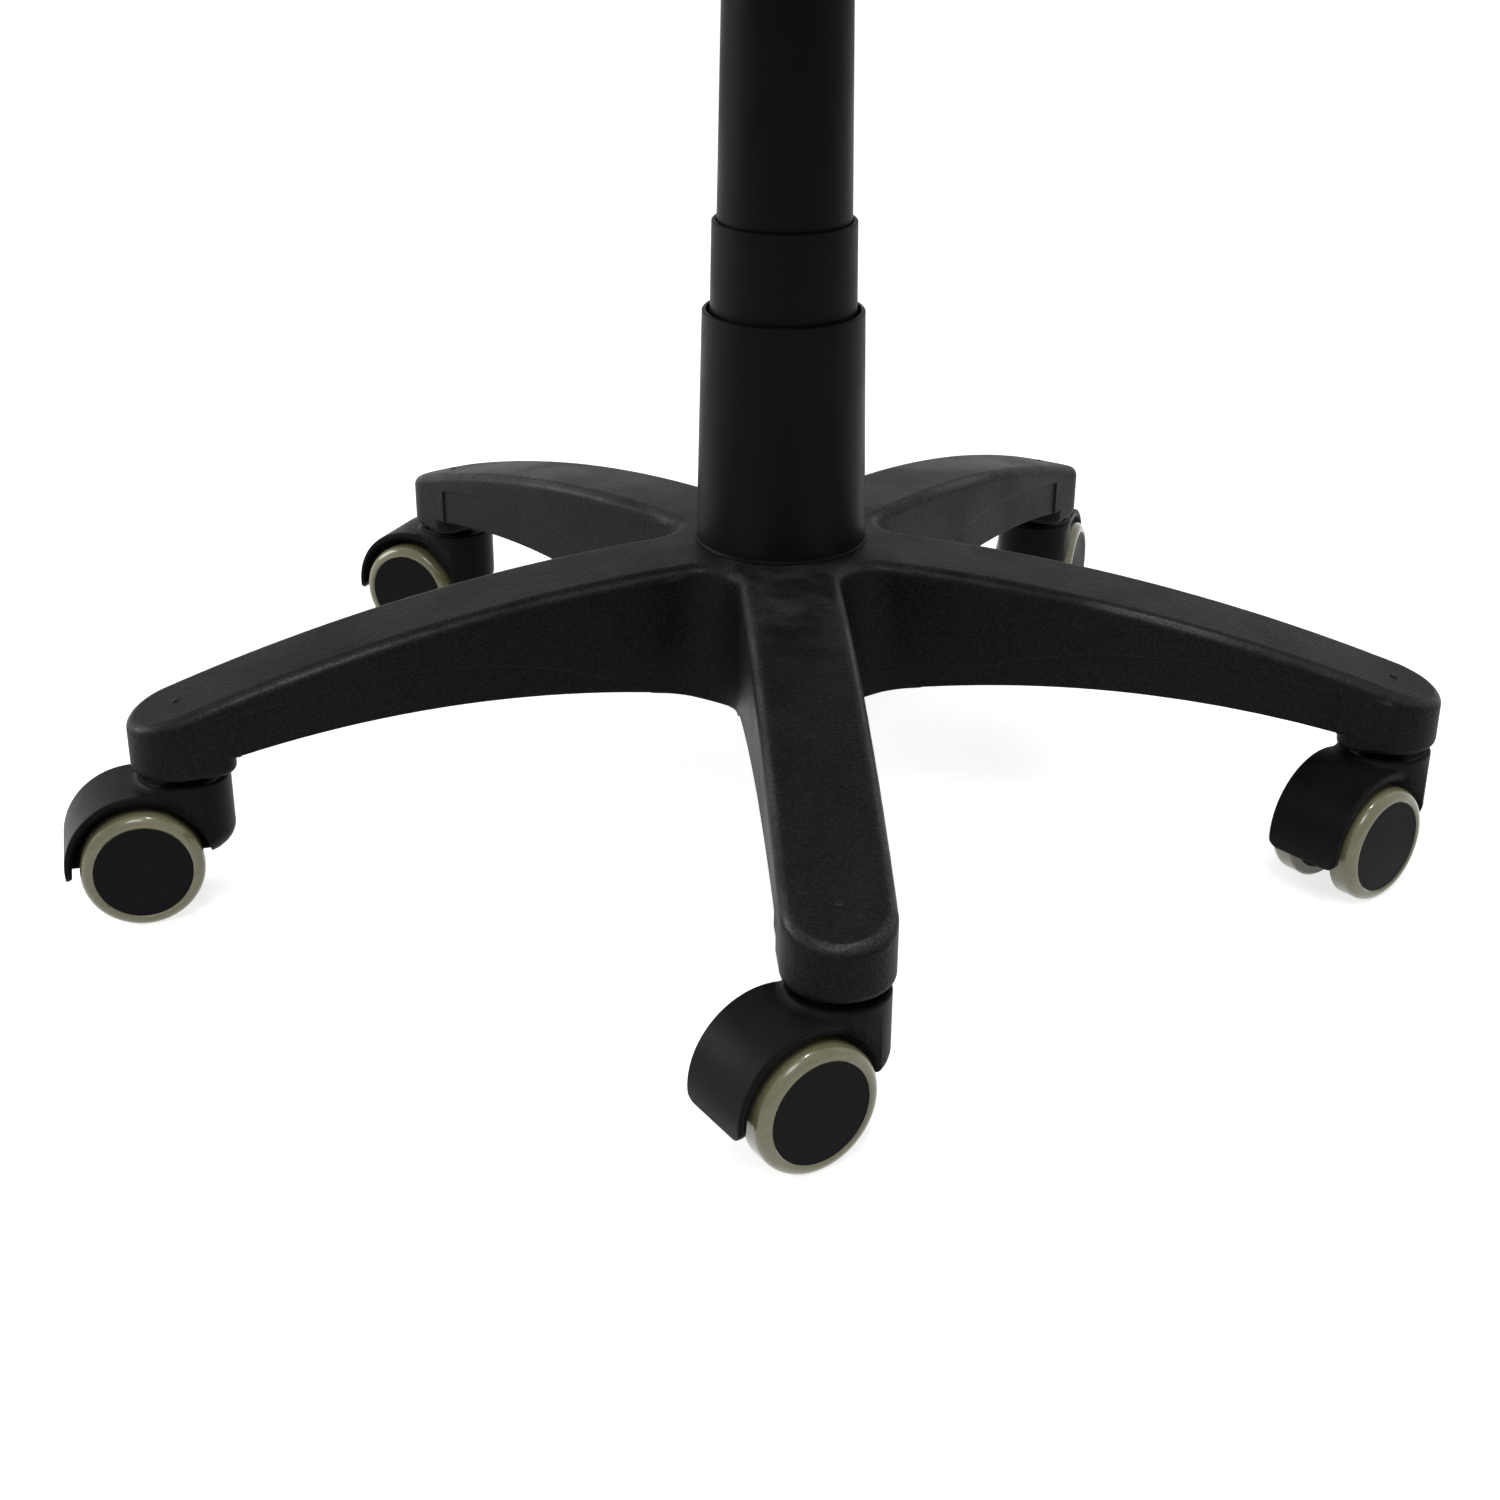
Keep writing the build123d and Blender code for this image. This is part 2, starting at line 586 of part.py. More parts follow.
def joins_cup(edge):
    """Whether an edge of the hood lies where the cup's upright side runs into the fender."""
    spots = [edge @ share for share in (0.1, 0.5, 0.9)]
    on_side = all(abs(sqrt(spot.X ** 2 + spot.Y ** 2) - CUP_R) < PRESS_FIT and spot.X > 0 for spot in spots)
    box = edge.bounding_box()
    above_foot = box.min.Z > HOOD_FRONT_Z + CUP_FOOT_R - PRESS_FIT
    below_rim = box.max.Z < CUP_TOP - CUP_EDGE_R - PRESS_FIT
    return on_side and above_foot and below_rim and abs(spots[1].Y) > PRESS_FIT


def caster_hood():
    """Moulded hood: fender over both wheels, cup round the stem and hollow web between the wheels."""
    tall = 2 * CUP_TOP
    rear = Pos(TRAIL + tall / 2, 0, HOOD_REAR_Z + tall / 2) * Box(tall, tall, tall)
    front = Pos(TRAIL - tall / 2, 0, HOOD_FRONT_Z + tall / 2) * Box(tall, tall, tall)
    fender = across(HOOD_R, HOOD_HALF_WIDTH, TRAIL, AXLE_Z + HOOD_LIFT)
    fender = fillet(fender.edges().filter_by(GeomType.CIRCLE), HOOD_EDGE_R)
    fender &= rear + front
    cup = Pos(0, 0, (CUP_TOP + HOOD_FRONT_Z) / 2) * Cylinder(CUP_R, CUP_TOP - HOOD_FRONT_Z)
    cup = fillet(cup.edges().group_by(Axis.Z)[0], CUP_FOOT_R)
    cup = fillet(cup.edges().group_by(Axis.Z)[-1], CUP_EDGE_R)
    hood = fender + cup
    blend_r = min(CUP_BLEND_R, CUP_BLEND_LIMIT * HOOD_R)
    hood = fillet(hood.edges().filter_by(joins_cup), blend_r)
    well_half = HOOD_HALF_WIDTH
    for side in (-1, 1):
        hood -= across(WELL_R, well_half, TRAIL, AXLE_Z, side * (WEB_HALF + well_half))
    hood += across(AXLE_BOSS_R, WEB_HALF, TRAIL, AXLE_Z)
    stem_boss = tube(STEM_BOSS_R, 0, 0, tall)
    hollow = across(WELL_R - WEB_WALL, WEB_HALF - WEB_WALL, TRAIL, AXLE_Z)
    hollow -= across(AXLE_BOSS_R, WEB_HALF, TRAIL, AXLE_Z)
    hood -= hollow - stem_boss
    hood -= tube(CUP_R - CUP_WALL, STEM_BOSS_R, CUP_TOP - CUP_RECESS, CUP_TOP + MARGIN)
    hood += tube(STEM_BOSS_R, 0, CUP_TOP - CUP_RECESS, BASE_BOTTOM - COLLAR - LOOSE_FIT)
    socket_r = STEM_PIVOT_R + RUNNING_FIT
    socket_end = BASE_BOTTOM - COLLAR - STEM_DEPTH - LOOSE_FIT
    hood -= tube(socket_r, 0, socket_end, BASE_BOTTOM)
    hood -= across(AXLE_R + PRESS_FIT, 2 * WEB_HALF, TRAIL, AXLE_Z)
    return hood


def caster_stem():
    """Turned stem: pivot in the hood, collar under the boss, and shank with a groove for its grip ring."""
    pivot_end = BASE_BOTTOM - COLLAR - STEM_DEPTH
    top = BASE_BOTTOM + STEM_LENGTH
    groove_top = top - GRIP_BELOW_END
    groove_bottom = groove_top - GRIP_WIDTH
    return turned(
        (0, pivot_end),
        (STEM_PIVOT_R - STEM_BEVEL, pivot_end),
        (STEM_PIVOT_R, pivot_end + STEM_BEVEL),
        (STEM_PIVOT_R, BASE_BOTTOM - COLLAR),
        (COLLAR_R, BASE_BOTTOM - COLLAR),
        (COLLAR_R, BASE_BOTTOM),
        (STEM_R, BASE_BOTTOM),
        (STEM_R, groove_bottom),
        (STEM_R - GRIP_GROOVE, groove_bottom),
        (STEM_R - GRIP_GROOVE, groove_top),
        (STEM_R, groove_top),
        (STEM_R, top - STEM_BEVEL),
        (STEM_R - STEM_BEVEL, top),
        (0, top),
    )


def grip_ring():
    """Split spring ring in the stem's groove."""
    top = BASE_BOTTOM + STEM_LENGTH - GRIP_BELOW_END - PRESS_FIT
    bottom = top - GRIP_WIDTH + 2 * PRESS_FIT
    ring = tube(STEM_R, STEM_R - GRIP_GROOVE + PRESS_FIT, bottom, top)
    gap = Pos(STEM_R, 0, (bottom + top) / 2) * Box(2 * STEM_R, GRIP_SPLIT, 2 * GRIP_WIDTH)
    return ring - gap


# Column, bearing and gas spring, all about the Z axis


def column_tube():
    """Steel tube with a tapered foot for the hub and a floor that carries the bearing."""
    foot_r = COLUMN_R - COLUMN_TAPER
    return turned(
        (ROD_END_R + LOOSE_FIT, COLUMN_BOTTOM),
        (foot_r - COLUMN_BEVEL, COLUMN_BOTTOM),
        (foot_r, COLUMN_BOTTOM + COLUMN_BEVEL),
        (foot_r, HUB_BOTTOM),
        (COLUMN_R, HUB_TOP),
        (COLUMN_R, COLUMN_TOP),
        (COLUMN_BORE_R, COLUMN_TOP),
        (COLUMN_BORE_R, BEARING_Z),
        (ROD_END_R + LOOSE_FIT, BEARING_Z),
    )


def guide_bush():
    """Flanged plastic bush in the column's mouth, with a bearing land at each end."""
    outer = COLUMN_BORE_R - PRESS_FIT
    inner = CYLINDER_R + RUNNING_FIT
    foot = COLUMN_TOP - BUSH_LENGTH
    return turned(
        (inner, foot),
        (outer, foot),
        (outer, COLUMN_TOP),
        (COLUMN_R, COLUMN_TOP),
        (COLUMN_R, COLUMN_TOP + BUSH_FLANGE),
        (inner, COLUMN_TOP + BUSH_FLANGE),
        (inner, COLUMN_TOP - BUSH_LAND),
        (inner + BUSH_RELIEF, COLUMN_TOP - BUSH_LAND - BUSH_RELIEF),
        (inner + BUSH_RELIEF, foot + BUSH_LAND + BUSH_RELIEF),
        (inner, foot + BUSH_LAND),
    )


def bearing_race(bottom):
    """Flat washer of the thrust bearing."""
    return tube(RACE_R, ROD_END_R + RUNNING_FIT, bottom, bottom + RACE)


def ball_ring(radius):
    """Balls, or the pockets for them, on the bearing's circle."""
    step = 2 * pi / BALL_COUNT
    spots = [polar(BALL_CIRCLE_R, k * step) for k in range(BALL_COUNT)]
    return [Pos(spot.X, spot.Y, BALL_Z) * Sphere(radius) for spot in spots]


def bearing_cage():
    """Thin ring that spaces the balls."""
    ring = tube(RACE_R, ROD_END_R + LOOSE_FIT, BALL_Z - CAGE / 2, BALL_Z + CAGE / 2)
    return ring - ball_ring(BALL_R + RUNNING_FIT)


def bump_stop():
    """Rubber ring that the cylinder meets at the bottom of its travel."""
    return turned(
        (ROD_R + PRESS_FIT, BUMP_STOP_Z),
        (BUMP_STOP_R, BUMP_STOP_Z),
        (BUMP_STOP_R - BUMP_STOP_TAPER, BUMP_STOP_Z + BUMP_STOP),
        (ROD_R + PRESS_FIT, BUMP_STOP_Z + BUMP_STOP),
    )


def piston_rod():
    """Rod that stands on the bearing, with a stepped lower end and a groove for the clip."""
    tail = COLUMN_BOTTOM - ROD_TAIL
    clip_bottom = CLIP_TOP - CLIP
    return turned(
        (0, tail),
        (ROD_END_R - ROD_BEVEL, tail),
        (ROD_END_R, tail + ROD_BEVEL),
        (ROD_END_R, clip_bottom),
        (ROD_END_R - CLIP_GROOVE, clip_bottom),
        (ROD_END_R - CLIP_GROOVE, CLIP_TOP),
        (ROD_END_R, CLIP_TOP),
        (ROD_END_R, BUMP_STOP_Z),
        (ROD_R, BUMP_STOP_Z),
        (ROD_R, PISTON_Z),
        (ROD_END_R, PISTON_Z),
        (ROD_END_R, PISTON_Z + PISTON),
        (0, PISTON_Z + PISTON),
    )


def clip_washer():
    """Washer between the column's floor and the clip."""
    return tube(CLIP_R, ROD_END_R + RUNNING_FIT, COLUMN_BOTTOM - CLIP_WASHER, COLUMN_BOTTOM)


def retaining_clip():
    """Open clip that holds the rod's end under the column."""
    top = CLIP_TOP - PRESS_FIT
    bottom = CLIP_TOP - CLIP + PRESS_FIT
    ring = tube(CLIP_R, ROD_END_R - CLIP_GROOVE + PRESS_FIT, bottom, top)
    mouth = Pos(CLIP_R, 0, bottom) * Box(2 * CLIP_R, 2 * (ROD_END_R - CLIP_GROOVE), 4 * CLIP)
    return ring - mouth


def piston():
    """Piston on the rod's upper end, with a groove for its seal."""
    outer = CYLINDER_BORE_R - PISTON_FIT
    middle = PISTON_Z + PISTON / 2
    return turned(
        (ROD_END_R + PRESS_FIT, PISTON_Z),
        (outer, PISTON_Z),
        (outer, middle - SEAL_WIDTH / 2),
        (outer - SEAL_DEPTH, middle - SEAL_WIDTH / 2),
        (outer - SEAL_DEPTH, middle + SEAL_WIDTH / 2),
        (outer, middle + SEAL_WIDTH / 2),
        (outer, PISTON_Z + PISTON),
        (ROD_END_R + PRESS_FIT, PISTON_Z + PISTON),
    )


def piston_seal():
    """Seal ring that slides on the cylinder's bore."""
    outer = CYLINDER_BORE_R - RUNNING_FIT
    inner = CYLINDER_BORE_R - PISTON_FIT - SEAL_DEPTH + PRESS_FIT
    middle = PISTON_Z + PISTON / 2
    half = SEAL_WIDTH / 2 - PRESS_FIT
    return tube(outer, inner, middle - half, middle + half)


def gas_cylinder():
    """Gas spring's cylinder: tapered head in the seat's socket, turned-in lip at the lower end."""
    head_bottom = CYLINDER_TOP - CYLINDER_HEAD
    pin_bore = PIN_R + RUNNING_FIT
    lip_r = CYLINDER_BORE_R - CYLINDER_LIP
    return turned(
        (lip_r, CYLINDER_BOTTOM),
        (CYLINDER_R, CYLINDER_BOTTOM),
        (CYLINDER_R, COVER_TOP_TOP),
        (CYLINDER_R - HEAD_TAPER, CYLINDER_TOP),
        (pin_bore, CYLINDER_TOP),
        (pin_bore, head_bottom),
        (CYLINDER_BORE_R, head_bottom),
        (CYLINDER_BORE_R, CYLINDER_BOTTOM + CYLINDER_LIP),
        (lip_r, CYLINDER_BOTTOM + CYLINDER_LIP),
    )


def rod_gland():
    """Guide and seal that close the cylinder round the rod."""
    bottom = CYLINDER_BOTTOM + CYLINDER_LIP
    return tube(CYLINDER_BORE_R - PRESS_FIT, ROD_R + RUNNING_FIT, bottom, bottom + GLAND)


def release_pin():
    """Valve pin in the cylinder's head, pressed by the lever."""
    top = CYLINDER_TOP + PIN_STAND
    return turned(
        (0, top - PIN_LENGTH),
        (PIN_R, top - PIN_LENGTH),
        (PIN_R, top - PIN_BEVEL),
        (PIN_R - PIN_BEVEL, top),
        (0, top),
    )


# Telescopic cover


def cover_bottom():
    """Lower stage, standing on the hub round the column."""
    return turned(
        (COLUMN_R + LOOSE_FIT, HUB_TOP),
        (COVER_BOTTOM_R + COVER_BEAD, HUB_TOP),
        (COVER_BOTTOM_R + COVER_BEAD, HUB_TOP + COVER_BEAD),
        (COVER_BOTTOM_R, HUB_TOP + COVER_BEAD_RISE),
        (COVER_RIM_R, COVER_BOTTOM_TOP - COVER_BEAD),
        (COVER_RIM_R - COVER_BEAD, COVER_BOTTOM_TOP),
        (COVER_MOUTH_R, COVER_BOTTOM_TOP),
        (COVER_BOTTOM_R - COVER_WALL, HUB_TOP + COVER_FLOOR),
        (COLUMN_R + LOOSE_FIT, HUB_TOP + COVER_FLOOR),
    )


def cover_middle():
    """Middle stage, with a foot that guides it in the lower stage."""
    foot = COVER_MIDDLE_TOP - COVER_MIDDLE_LENGTH
    foot_r = COVER_MIDDLE_R + COVER_MIDDLE_LENGTH * sin(radians(COVER_MIDDLE_TAPER))
    guide_r = COVER_MOUTH_R + COVER_FOOT_STEP
    return turned(
        (foot_r - COVER_WALL, foot),
        (guide_r, foot),
        (guide_r, foot + COVER_FLOOR),
        (foot_r, foot + COVER_FLOOR),
        (COVER_MIDDLE_R, COVER_MIDDLE_TOP - COVER_BEAD),
        (COVER_MIDDLE_R - COVER_BEAD, COVER_MIDDLE_TOP),
        (COVER_MIDDLE_R - COVER_WALL, COVER_MIDDLE_TOP),
    )


def cover_top():
    """Upper stage, hung round the cylinder under the seat's socket."""
    foot = COVER_TOP_TOP - COVER_TOP_LENGTH
    head_r = COVER_TOP_R - COVER_TOP_STAND * sin(radians(COVER_TOP_TAPER))
    bore = CYLINDER_R + LOOSE_FIT
    return turned(
        (COVER_TOP_R - COVER_TOP_WALL, foot),
        (COVER_TOP_R, foot),
        (COVER_TOP_R, COVER_MIDDLE_TOP),
        (head_r, COVER_TOP_TOP),
        (bore, COVER_TOP_TOP),
        (bore, COVER_TOP_TOP - COVER_FLOOR),
        (head_r - COVER_TOP_WALL, COVER_TOP_TOP - COVER_FLOOR),
        (COVER_TOP_R - COVER_TOP_WALL, COVER_MIDDLE_TOP),
    )


# Seat plate and lever


def taper_socket():
    """Tapered tube welded into the seat plate."""
    fit = CYLINDER_R + PRESS_FIT
    return turned(
        (fit, COVER_TOP_TOP),
        (SOCKET_R, COVER_TOP_TOP),
        (SOCKET_R, SOCKET_TOP),
        (fit - HEAD_TAPER, SOCKET_TOP),
    )


def seat_plate():
    """Pressed pan with a bolting flange, a hole for the socket, a slot for the lever and two pivot ears."""
    rise = FLANGE_TOP - SHEET - PAN_FLOOR
    pan_sketch = RectangleRounded(PAN_LENGTH, PAN_WIDTH, PAN_CORNER_R)
    pan = extrude(Plane.XY.offset(PAN_FLOOR) * pan_sketch, rise)
    plate = fillet(pan.faces().sort_by(Axis.Z)[0].edges(), PAN_BEND_R)
    flange_sketch = RectangleRounded(PAN_LENGTH + 2 * FLANGE_X, PAN_WIDTH + 2 * FLANGE_Y, FLANGE_CORNER_R)
    plate += extrude(Plane.XY.offset(FLANGE_TOP - SHEET) * flange_sketch, SHEET)
    hollow_sketch = RectangleRounded(PAN_LENGTH - 2 * SHEET, PAN_WIDTH - 2 * SHEET, PAN_CORNER_R - SHEET)
    hollow = extrude(Plane.XY.offset(PAN_FLOOR + SHEET) * hollow_sketch, rise + MARGIN)
    plate -= fillet(hollow.faces().sort_by(Axis.Z)[0].edges(), PAN_BEND_R - SHEET)
    ear_bottom = PAN_FLOOR + SHEET / 2
    ear_y = LEVER_HALF_WIDTH + LOOSE_FIT + EAR / 2
    ear = Box(2 * EAR_HALF_LENGTH, EAR, EAR_TOP - ear_bottom)
    plate += [Pos(LEVER_PIVOT_X, side * ear_y, (EAR_TOP + ear_bottom) / 2) * ear for side in (-1, 1)]
    plate -= across(PIVOT_PIN_R + PRESS_FIT, ear_y + EAR, LEVER_PIVOT_X, LEVER_Z)
    plate -= Pos(PAN_LENGTH / 2, 0, LEVER_Z) * Box(2 * MARGIN, LEVER_SLOT, LEVER_SLOT)
    plate -= Pos(0, 0, PAN_FLOOR) * Cylinder(SOCKET_R + PRESS_FIT, 2 * MARGIN)
    plate -= [Pos(x, y, FLANGE_TOP) * Cylinder(BOLT_R + LOOSE_FIT, 2 * MARGIN) for x, y in bolt_places()]
    return plate


def bolt_places():
    """Plan positions of the four seat bolts."""
    out_x = PAN_LENGTH / 2 + BOLT_OUT_X
    out_y = PAN_WIDTH / 2 + BOLT_OUT_Y
    return [(x * out_x, y * out_y) for x in (-1, 1) for y in (-1, 1)]


def lever_pivot_pin():
    """Headed pin through both ears."""
    half = LEVER_HALF_WIDTH + LOOSE_FIT + EAR
    pin = across(PIVOT_PIN_R, half + PIVOT_HEAD, LEVER_PIVOT_X, LEVER_Z)
    for side in (-1, 1):
        pin += across(PIVOT_HEAD_R, PIVOT_HEAD / 2, LEVER_PIVOT_X, LEVER_Z, side * (half + PIVOT_HEAD / 2))
    return pin


def lever_rod():
    """Bent lever: flat tongue over the release pin, pivot boss, and a rod that dips below the seat."""
    path = FilletPolyline(
        (LEVER_PIVOT_X, 0, LEVER_Z),
        (LEVER_BEND_X, 0, LEVER_Z),
        (LEVER_LOW_X, 0, LEVER_LOW_Z),
        (LEVER_END_X, 0, LEVER_LOW_Z),
        radius=LEVER_BEND_R,
    )
    rod = sweep(Plane(path @ 0, z_dir=path % 0) * Circle(LEVER_R), path)
    boss = across(LEVER_BOSS_R, LEVER_HALF_WIDTH, LEVER_PIVOT_X, LEVER_Z)
    tongue_run = LEVER_PIVOT_X + LEVER_TONGUE_OVER
    tongue_x = (LEVER_PIVOT_X - LEVER_TONGUE_OVER) / 2
    tongue = Pos(tongue_x, 0, LEVER_Z) * Box(tongue_run, 2 * LEVER_HALF_WIDTH, LEVER_TONGUE)
    lever = rod + boss + tongue
    return lever - across(PIVOT_PIN_R + RUNNING_FIT, 2 * LEVER_HALF_WIDTH, LEVER_PIVOT_X, LEVER_Z)


def lever_grip():
    """Swelling plastic grip pushed on the lever's end."""
    end = LEVER_END_X + GRIP_END_WALL
    seat = LEVER_END_X + PRESS_FIT
    bore = LEVER_R + PRESS_FIT
    full = GRIP_START_X + GRIP_BEVEL
    ball_x = end - GRIP_FAT_R
    reach = GRIP_FAT_R * cos(pi / 4)
    shape = make_face(
        [
            Line((GRIP_START_X, bore), (GRIP_START_X, GRIP_R - GRIP_BEVEL)),
            Line((GRIP_START_X, GRIP_R - GRIP_BEVEL), (full, GRIP_R)),
            ThreePointArc((full, GRIP_R), ((full + ball_x) / 2, GRIP_WAIST_R), (ball_x, GRIP_FAT_R)),
            ThreePointArc((ball_x, GRIP_FAT_R), (ball_x + reach, reach), (end, 0)),
            Line((end, 0), (seat, 0)),
            Line((seat, 0), (seat, bore)),
            Line((seat, bore), (GRIP_START_X, bore)),
        ]
    )
    return Pos(0, 0, LEVER_LOW_Z) * revolve(Plane.XZ * shape, Axis.X)


# Seat


def seat_board():
    """Round plywood board with counterbored holes for the tee nuts."""
    board = Pos(0, 0, FLANGE_TOP + BOARD / 2) * Cylinder(BOARD_R, BOARD)
    board = chamfer(board.edges(), BOARD_BEVEL)
    for x, y in bolt_places():
        board -= Pos(x, y, BOARD_TOP) * Cylinder(TEE_R + PRESS_FIT, 2 * BOARD + 2 * MARGIN)
        board -= Pos(x, y, BOARD_TOP) * Cylinder(TEE_FLANGE_R + LOOSE_FIT, 2 * TEE_FLANGE)
    return board


def tee_nut():
    """Flanged nut let into the board from above."""
    bore = BOLT_R + PRESS_FIT
    return turned(
        (bore, BOARD_TOP - TEE_LENGTH),
        (TEE_R, BOARD_TOP - TEE_LENGTH),
        (TEE_R, BOARD_TOP - TEE_FLANGE),
        (TEE_FLANGE_R, BOARD_TOP - TEE_FLANGE),
        (TEE_FLANGE_R, BOARD_TOP),
        (bore, BOARD_TOP),
    )


def seat_bolt():
    """Hexagon-headed bolt up through the flange."""
    under = FLANGE_TOP - SHEET
    head = extrude(Plane.XY.offset(under - BOLT_HEAD) * RegularPolygon(BOLT_HEAD_R, 6), BOLT_HEAD)
    return head + tube(BOLT_R, 0, under - BOLT_HEAD / 2, under - BOLT_HEAD / 2 + BOLT_LENGTH)


def seat_cushion():
    """Round padded seat: sides drawn in under the board, full sides, rolled shoulder and a crowned top."""
    inner_r = BOARD_R + LOOSE_FIT
    foot_r = inner_r + CUSHION_FOOT
    foot_z = FLANGE_TOP
    side_top_r = SEAT_R - CUSHION_TURN
    side_top_z = foot_z + CUSHION_SIDE
    top_r = side_top_r - CUSHION_SHOULDER
    top_z = side_top_z + CUSHION_SHOULDER_RISE
    crown_z = top_z + CUSHION_CROWN
    crown_r = (top_r ** 2 + CUSHION_CROWN ** 2) / (2 * CUSHION_CROWN)
    halfway_z = crown_z - crown_r + sqrt(crown_r ** 2 - top_r ** 2 / 4)
    seat_z = BOARD_TOP + LOOSE_FIT
    across_shoulder = Vector(CUSHION_SHOULDER_RISE, CUSHION_SHOULDER).normalized() * CUSHION_SHOULDER_BOW
    shoulder = Vector((side_top_r + top_r) / 2, (side_top_z + top_z) / 2) + across_shoulder
    return turned_outline(
        Line((0, seat_z), (inner_r, seat_z)),
        Line((inner_r, seat_z), (inner_r, foot_z)),
        Line((inner_r, foot_z), (foot_r, foot_z)),
        ThreePointArc((foot_r, foot_z), (SEAT_R, foot_z + CUSHION_SIDE / 2), (side_top_r, side_top_z)),
        ThreePointArc((side_top_r, side_top_z), shoulder, (top_r, top_z)),
        ThreePointArc((top_r, top_z), (top_r / 2, halfway_z), (0, crown_z)),
        Line((0, crown_z), (0, seat_z)),
    )


def stool_nodes():
    """Every piece of the stool under its node name, in place."""
    nodes = {
        "base_star": base_star(),
        "caster_stems": on_arms(Pos(STEM_CIRCLE_R, 0, 0) * caster_stem()),
        "stem_grip_rings": on_arms(Pos(STEM_CIRCLE_R, 0, 0) * grip_ring()),
        "column_tube": column_tube(),
        "guide_bush": guide_bush(),
        "bearing_race_lower": bearing_race(BEARING_Z),
        "bearing_cage": bearing_cage(),
        "bearing_balls": ball_ring(BALL_R - RUNNING_FIT),
        "bearing_race_upper": bearing_race(UPPER_RACE_Z),
        "bump_stop": bump_stop(),
        "piston_rod": piston_rod(),
        "piston": piston(),
        "piston_seal": piston_seal(),
        "clip_washer": clip_washer(),
        "retaining_clip": retaining_clip(),
        "gas_cylinder": gas_cylinder(),
        "rod_gland": rod_gland(),
        "release_pin": release_pin(),
        "cover_bottom": cover_bottom(),
        "cover_middle": cover_middle(),
        "cover_top": cover_top(),
        "taper_socket": taper_socket(),
        "seat_plate": seat_plate(),
        "lever_pivot_pin": lever_pivot_pin(),
        "lever_rod": lever_rod(),
        "lever_grip": lever_grip(),
        "seat_board": seat_board(),
        "tee_nuts": [Pos(x, y, 0) * tee_nut() for x, y in bolt_places()],
        "seat_bolts": [Pos(x, y, 0) * seat_bolt() for x, y in bolt_places()],
        "seat_cushion": seat_cushion(),
    }
    caster = {
        "hood": caster_hood(),
        "axle": caster_axle(),
        "core_a": wheel_core(1),
        "core_b": wheel_core(-1),
        "tread_a": wheel_tread(1),
        "tread_b": wheel_tread(-1),
    }
    for k, (place, heading) in enumerate(CASTERS.items()):
        stem = polar(STEM_CIRCLE_R, FIRST_ARM + k * ARM_STEP)
        for piece, shape in caster.items():
            nodes[f"{place}_{piece}"] = Pos(stem.X, stem.Y, 0) * Rot(0, 0, heading) * shape
    return nodes


if __name__ == "__main__":
    os.makedirs("parts", exist_ok=True)
    for name, shape in stool_nodes().items():
        solids = shape if isinstance(shape, list) else [shape]
        export_step(Compound(children=solids) if len(solids) > 1 else solids[0], f"parts/{name}.step")
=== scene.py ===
"""Looks of an adjustable swivel stool: a star base on hooded casters, a column and a padded seat.

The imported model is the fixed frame. This script gives every piece its finish, trims the casters'
hoods, makes the stuffed seat cushion with its piping and stitches, and sets the studio round it.
Lengths are in metres, in the frame's own axes.
"""

import json
import logging
import math
from dataclasses import dataclass
from enum import Enum

import bmesh
import bpy
from mathutils import Matrix, Vector
from mathutils.bvhtree import BVHTree


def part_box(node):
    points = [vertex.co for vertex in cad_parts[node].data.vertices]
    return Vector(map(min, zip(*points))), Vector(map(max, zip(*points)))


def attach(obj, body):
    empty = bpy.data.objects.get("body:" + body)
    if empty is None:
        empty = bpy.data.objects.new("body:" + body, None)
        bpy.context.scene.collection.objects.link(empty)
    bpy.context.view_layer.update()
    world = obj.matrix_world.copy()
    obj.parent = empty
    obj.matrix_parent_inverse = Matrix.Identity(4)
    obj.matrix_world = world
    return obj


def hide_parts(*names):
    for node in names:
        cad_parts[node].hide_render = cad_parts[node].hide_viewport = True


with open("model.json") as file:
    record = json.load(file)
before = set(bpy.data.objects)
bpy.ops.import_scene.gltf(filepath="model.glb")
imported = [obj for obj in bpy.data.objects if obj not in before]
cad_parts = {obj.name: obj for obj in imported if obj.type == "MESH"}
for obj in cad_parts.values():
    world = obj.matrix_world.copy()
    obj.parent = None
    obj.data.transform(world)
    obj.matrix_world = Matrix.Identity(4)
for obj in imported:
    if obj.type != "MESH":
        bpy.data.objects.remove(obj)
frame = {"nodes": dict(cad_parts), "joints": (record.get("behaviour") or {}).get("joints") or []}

LOG = logging.getLogger("stool")
MM = 0.001
UP = Vector((0, 0, 1))

Triple = tuple[float, float, float]
Colour = Triple
Material = bpy.types.Material
Node = bpy.types.Node
Piece = bpy.types.Object
Socket = bpy.types.NodeSocket
Tree = bpy.types.NodeTree
Fed = float | tuple | Vector | Socket


class Spot(Enum):
    """Where on the floor plan a caster stands."""

    FRONT = "front"
    RIGHT = "right"
    BACK_RIGHT = "back_right"
    BACK_LEFT = "back_left"
    LEFT = "left"


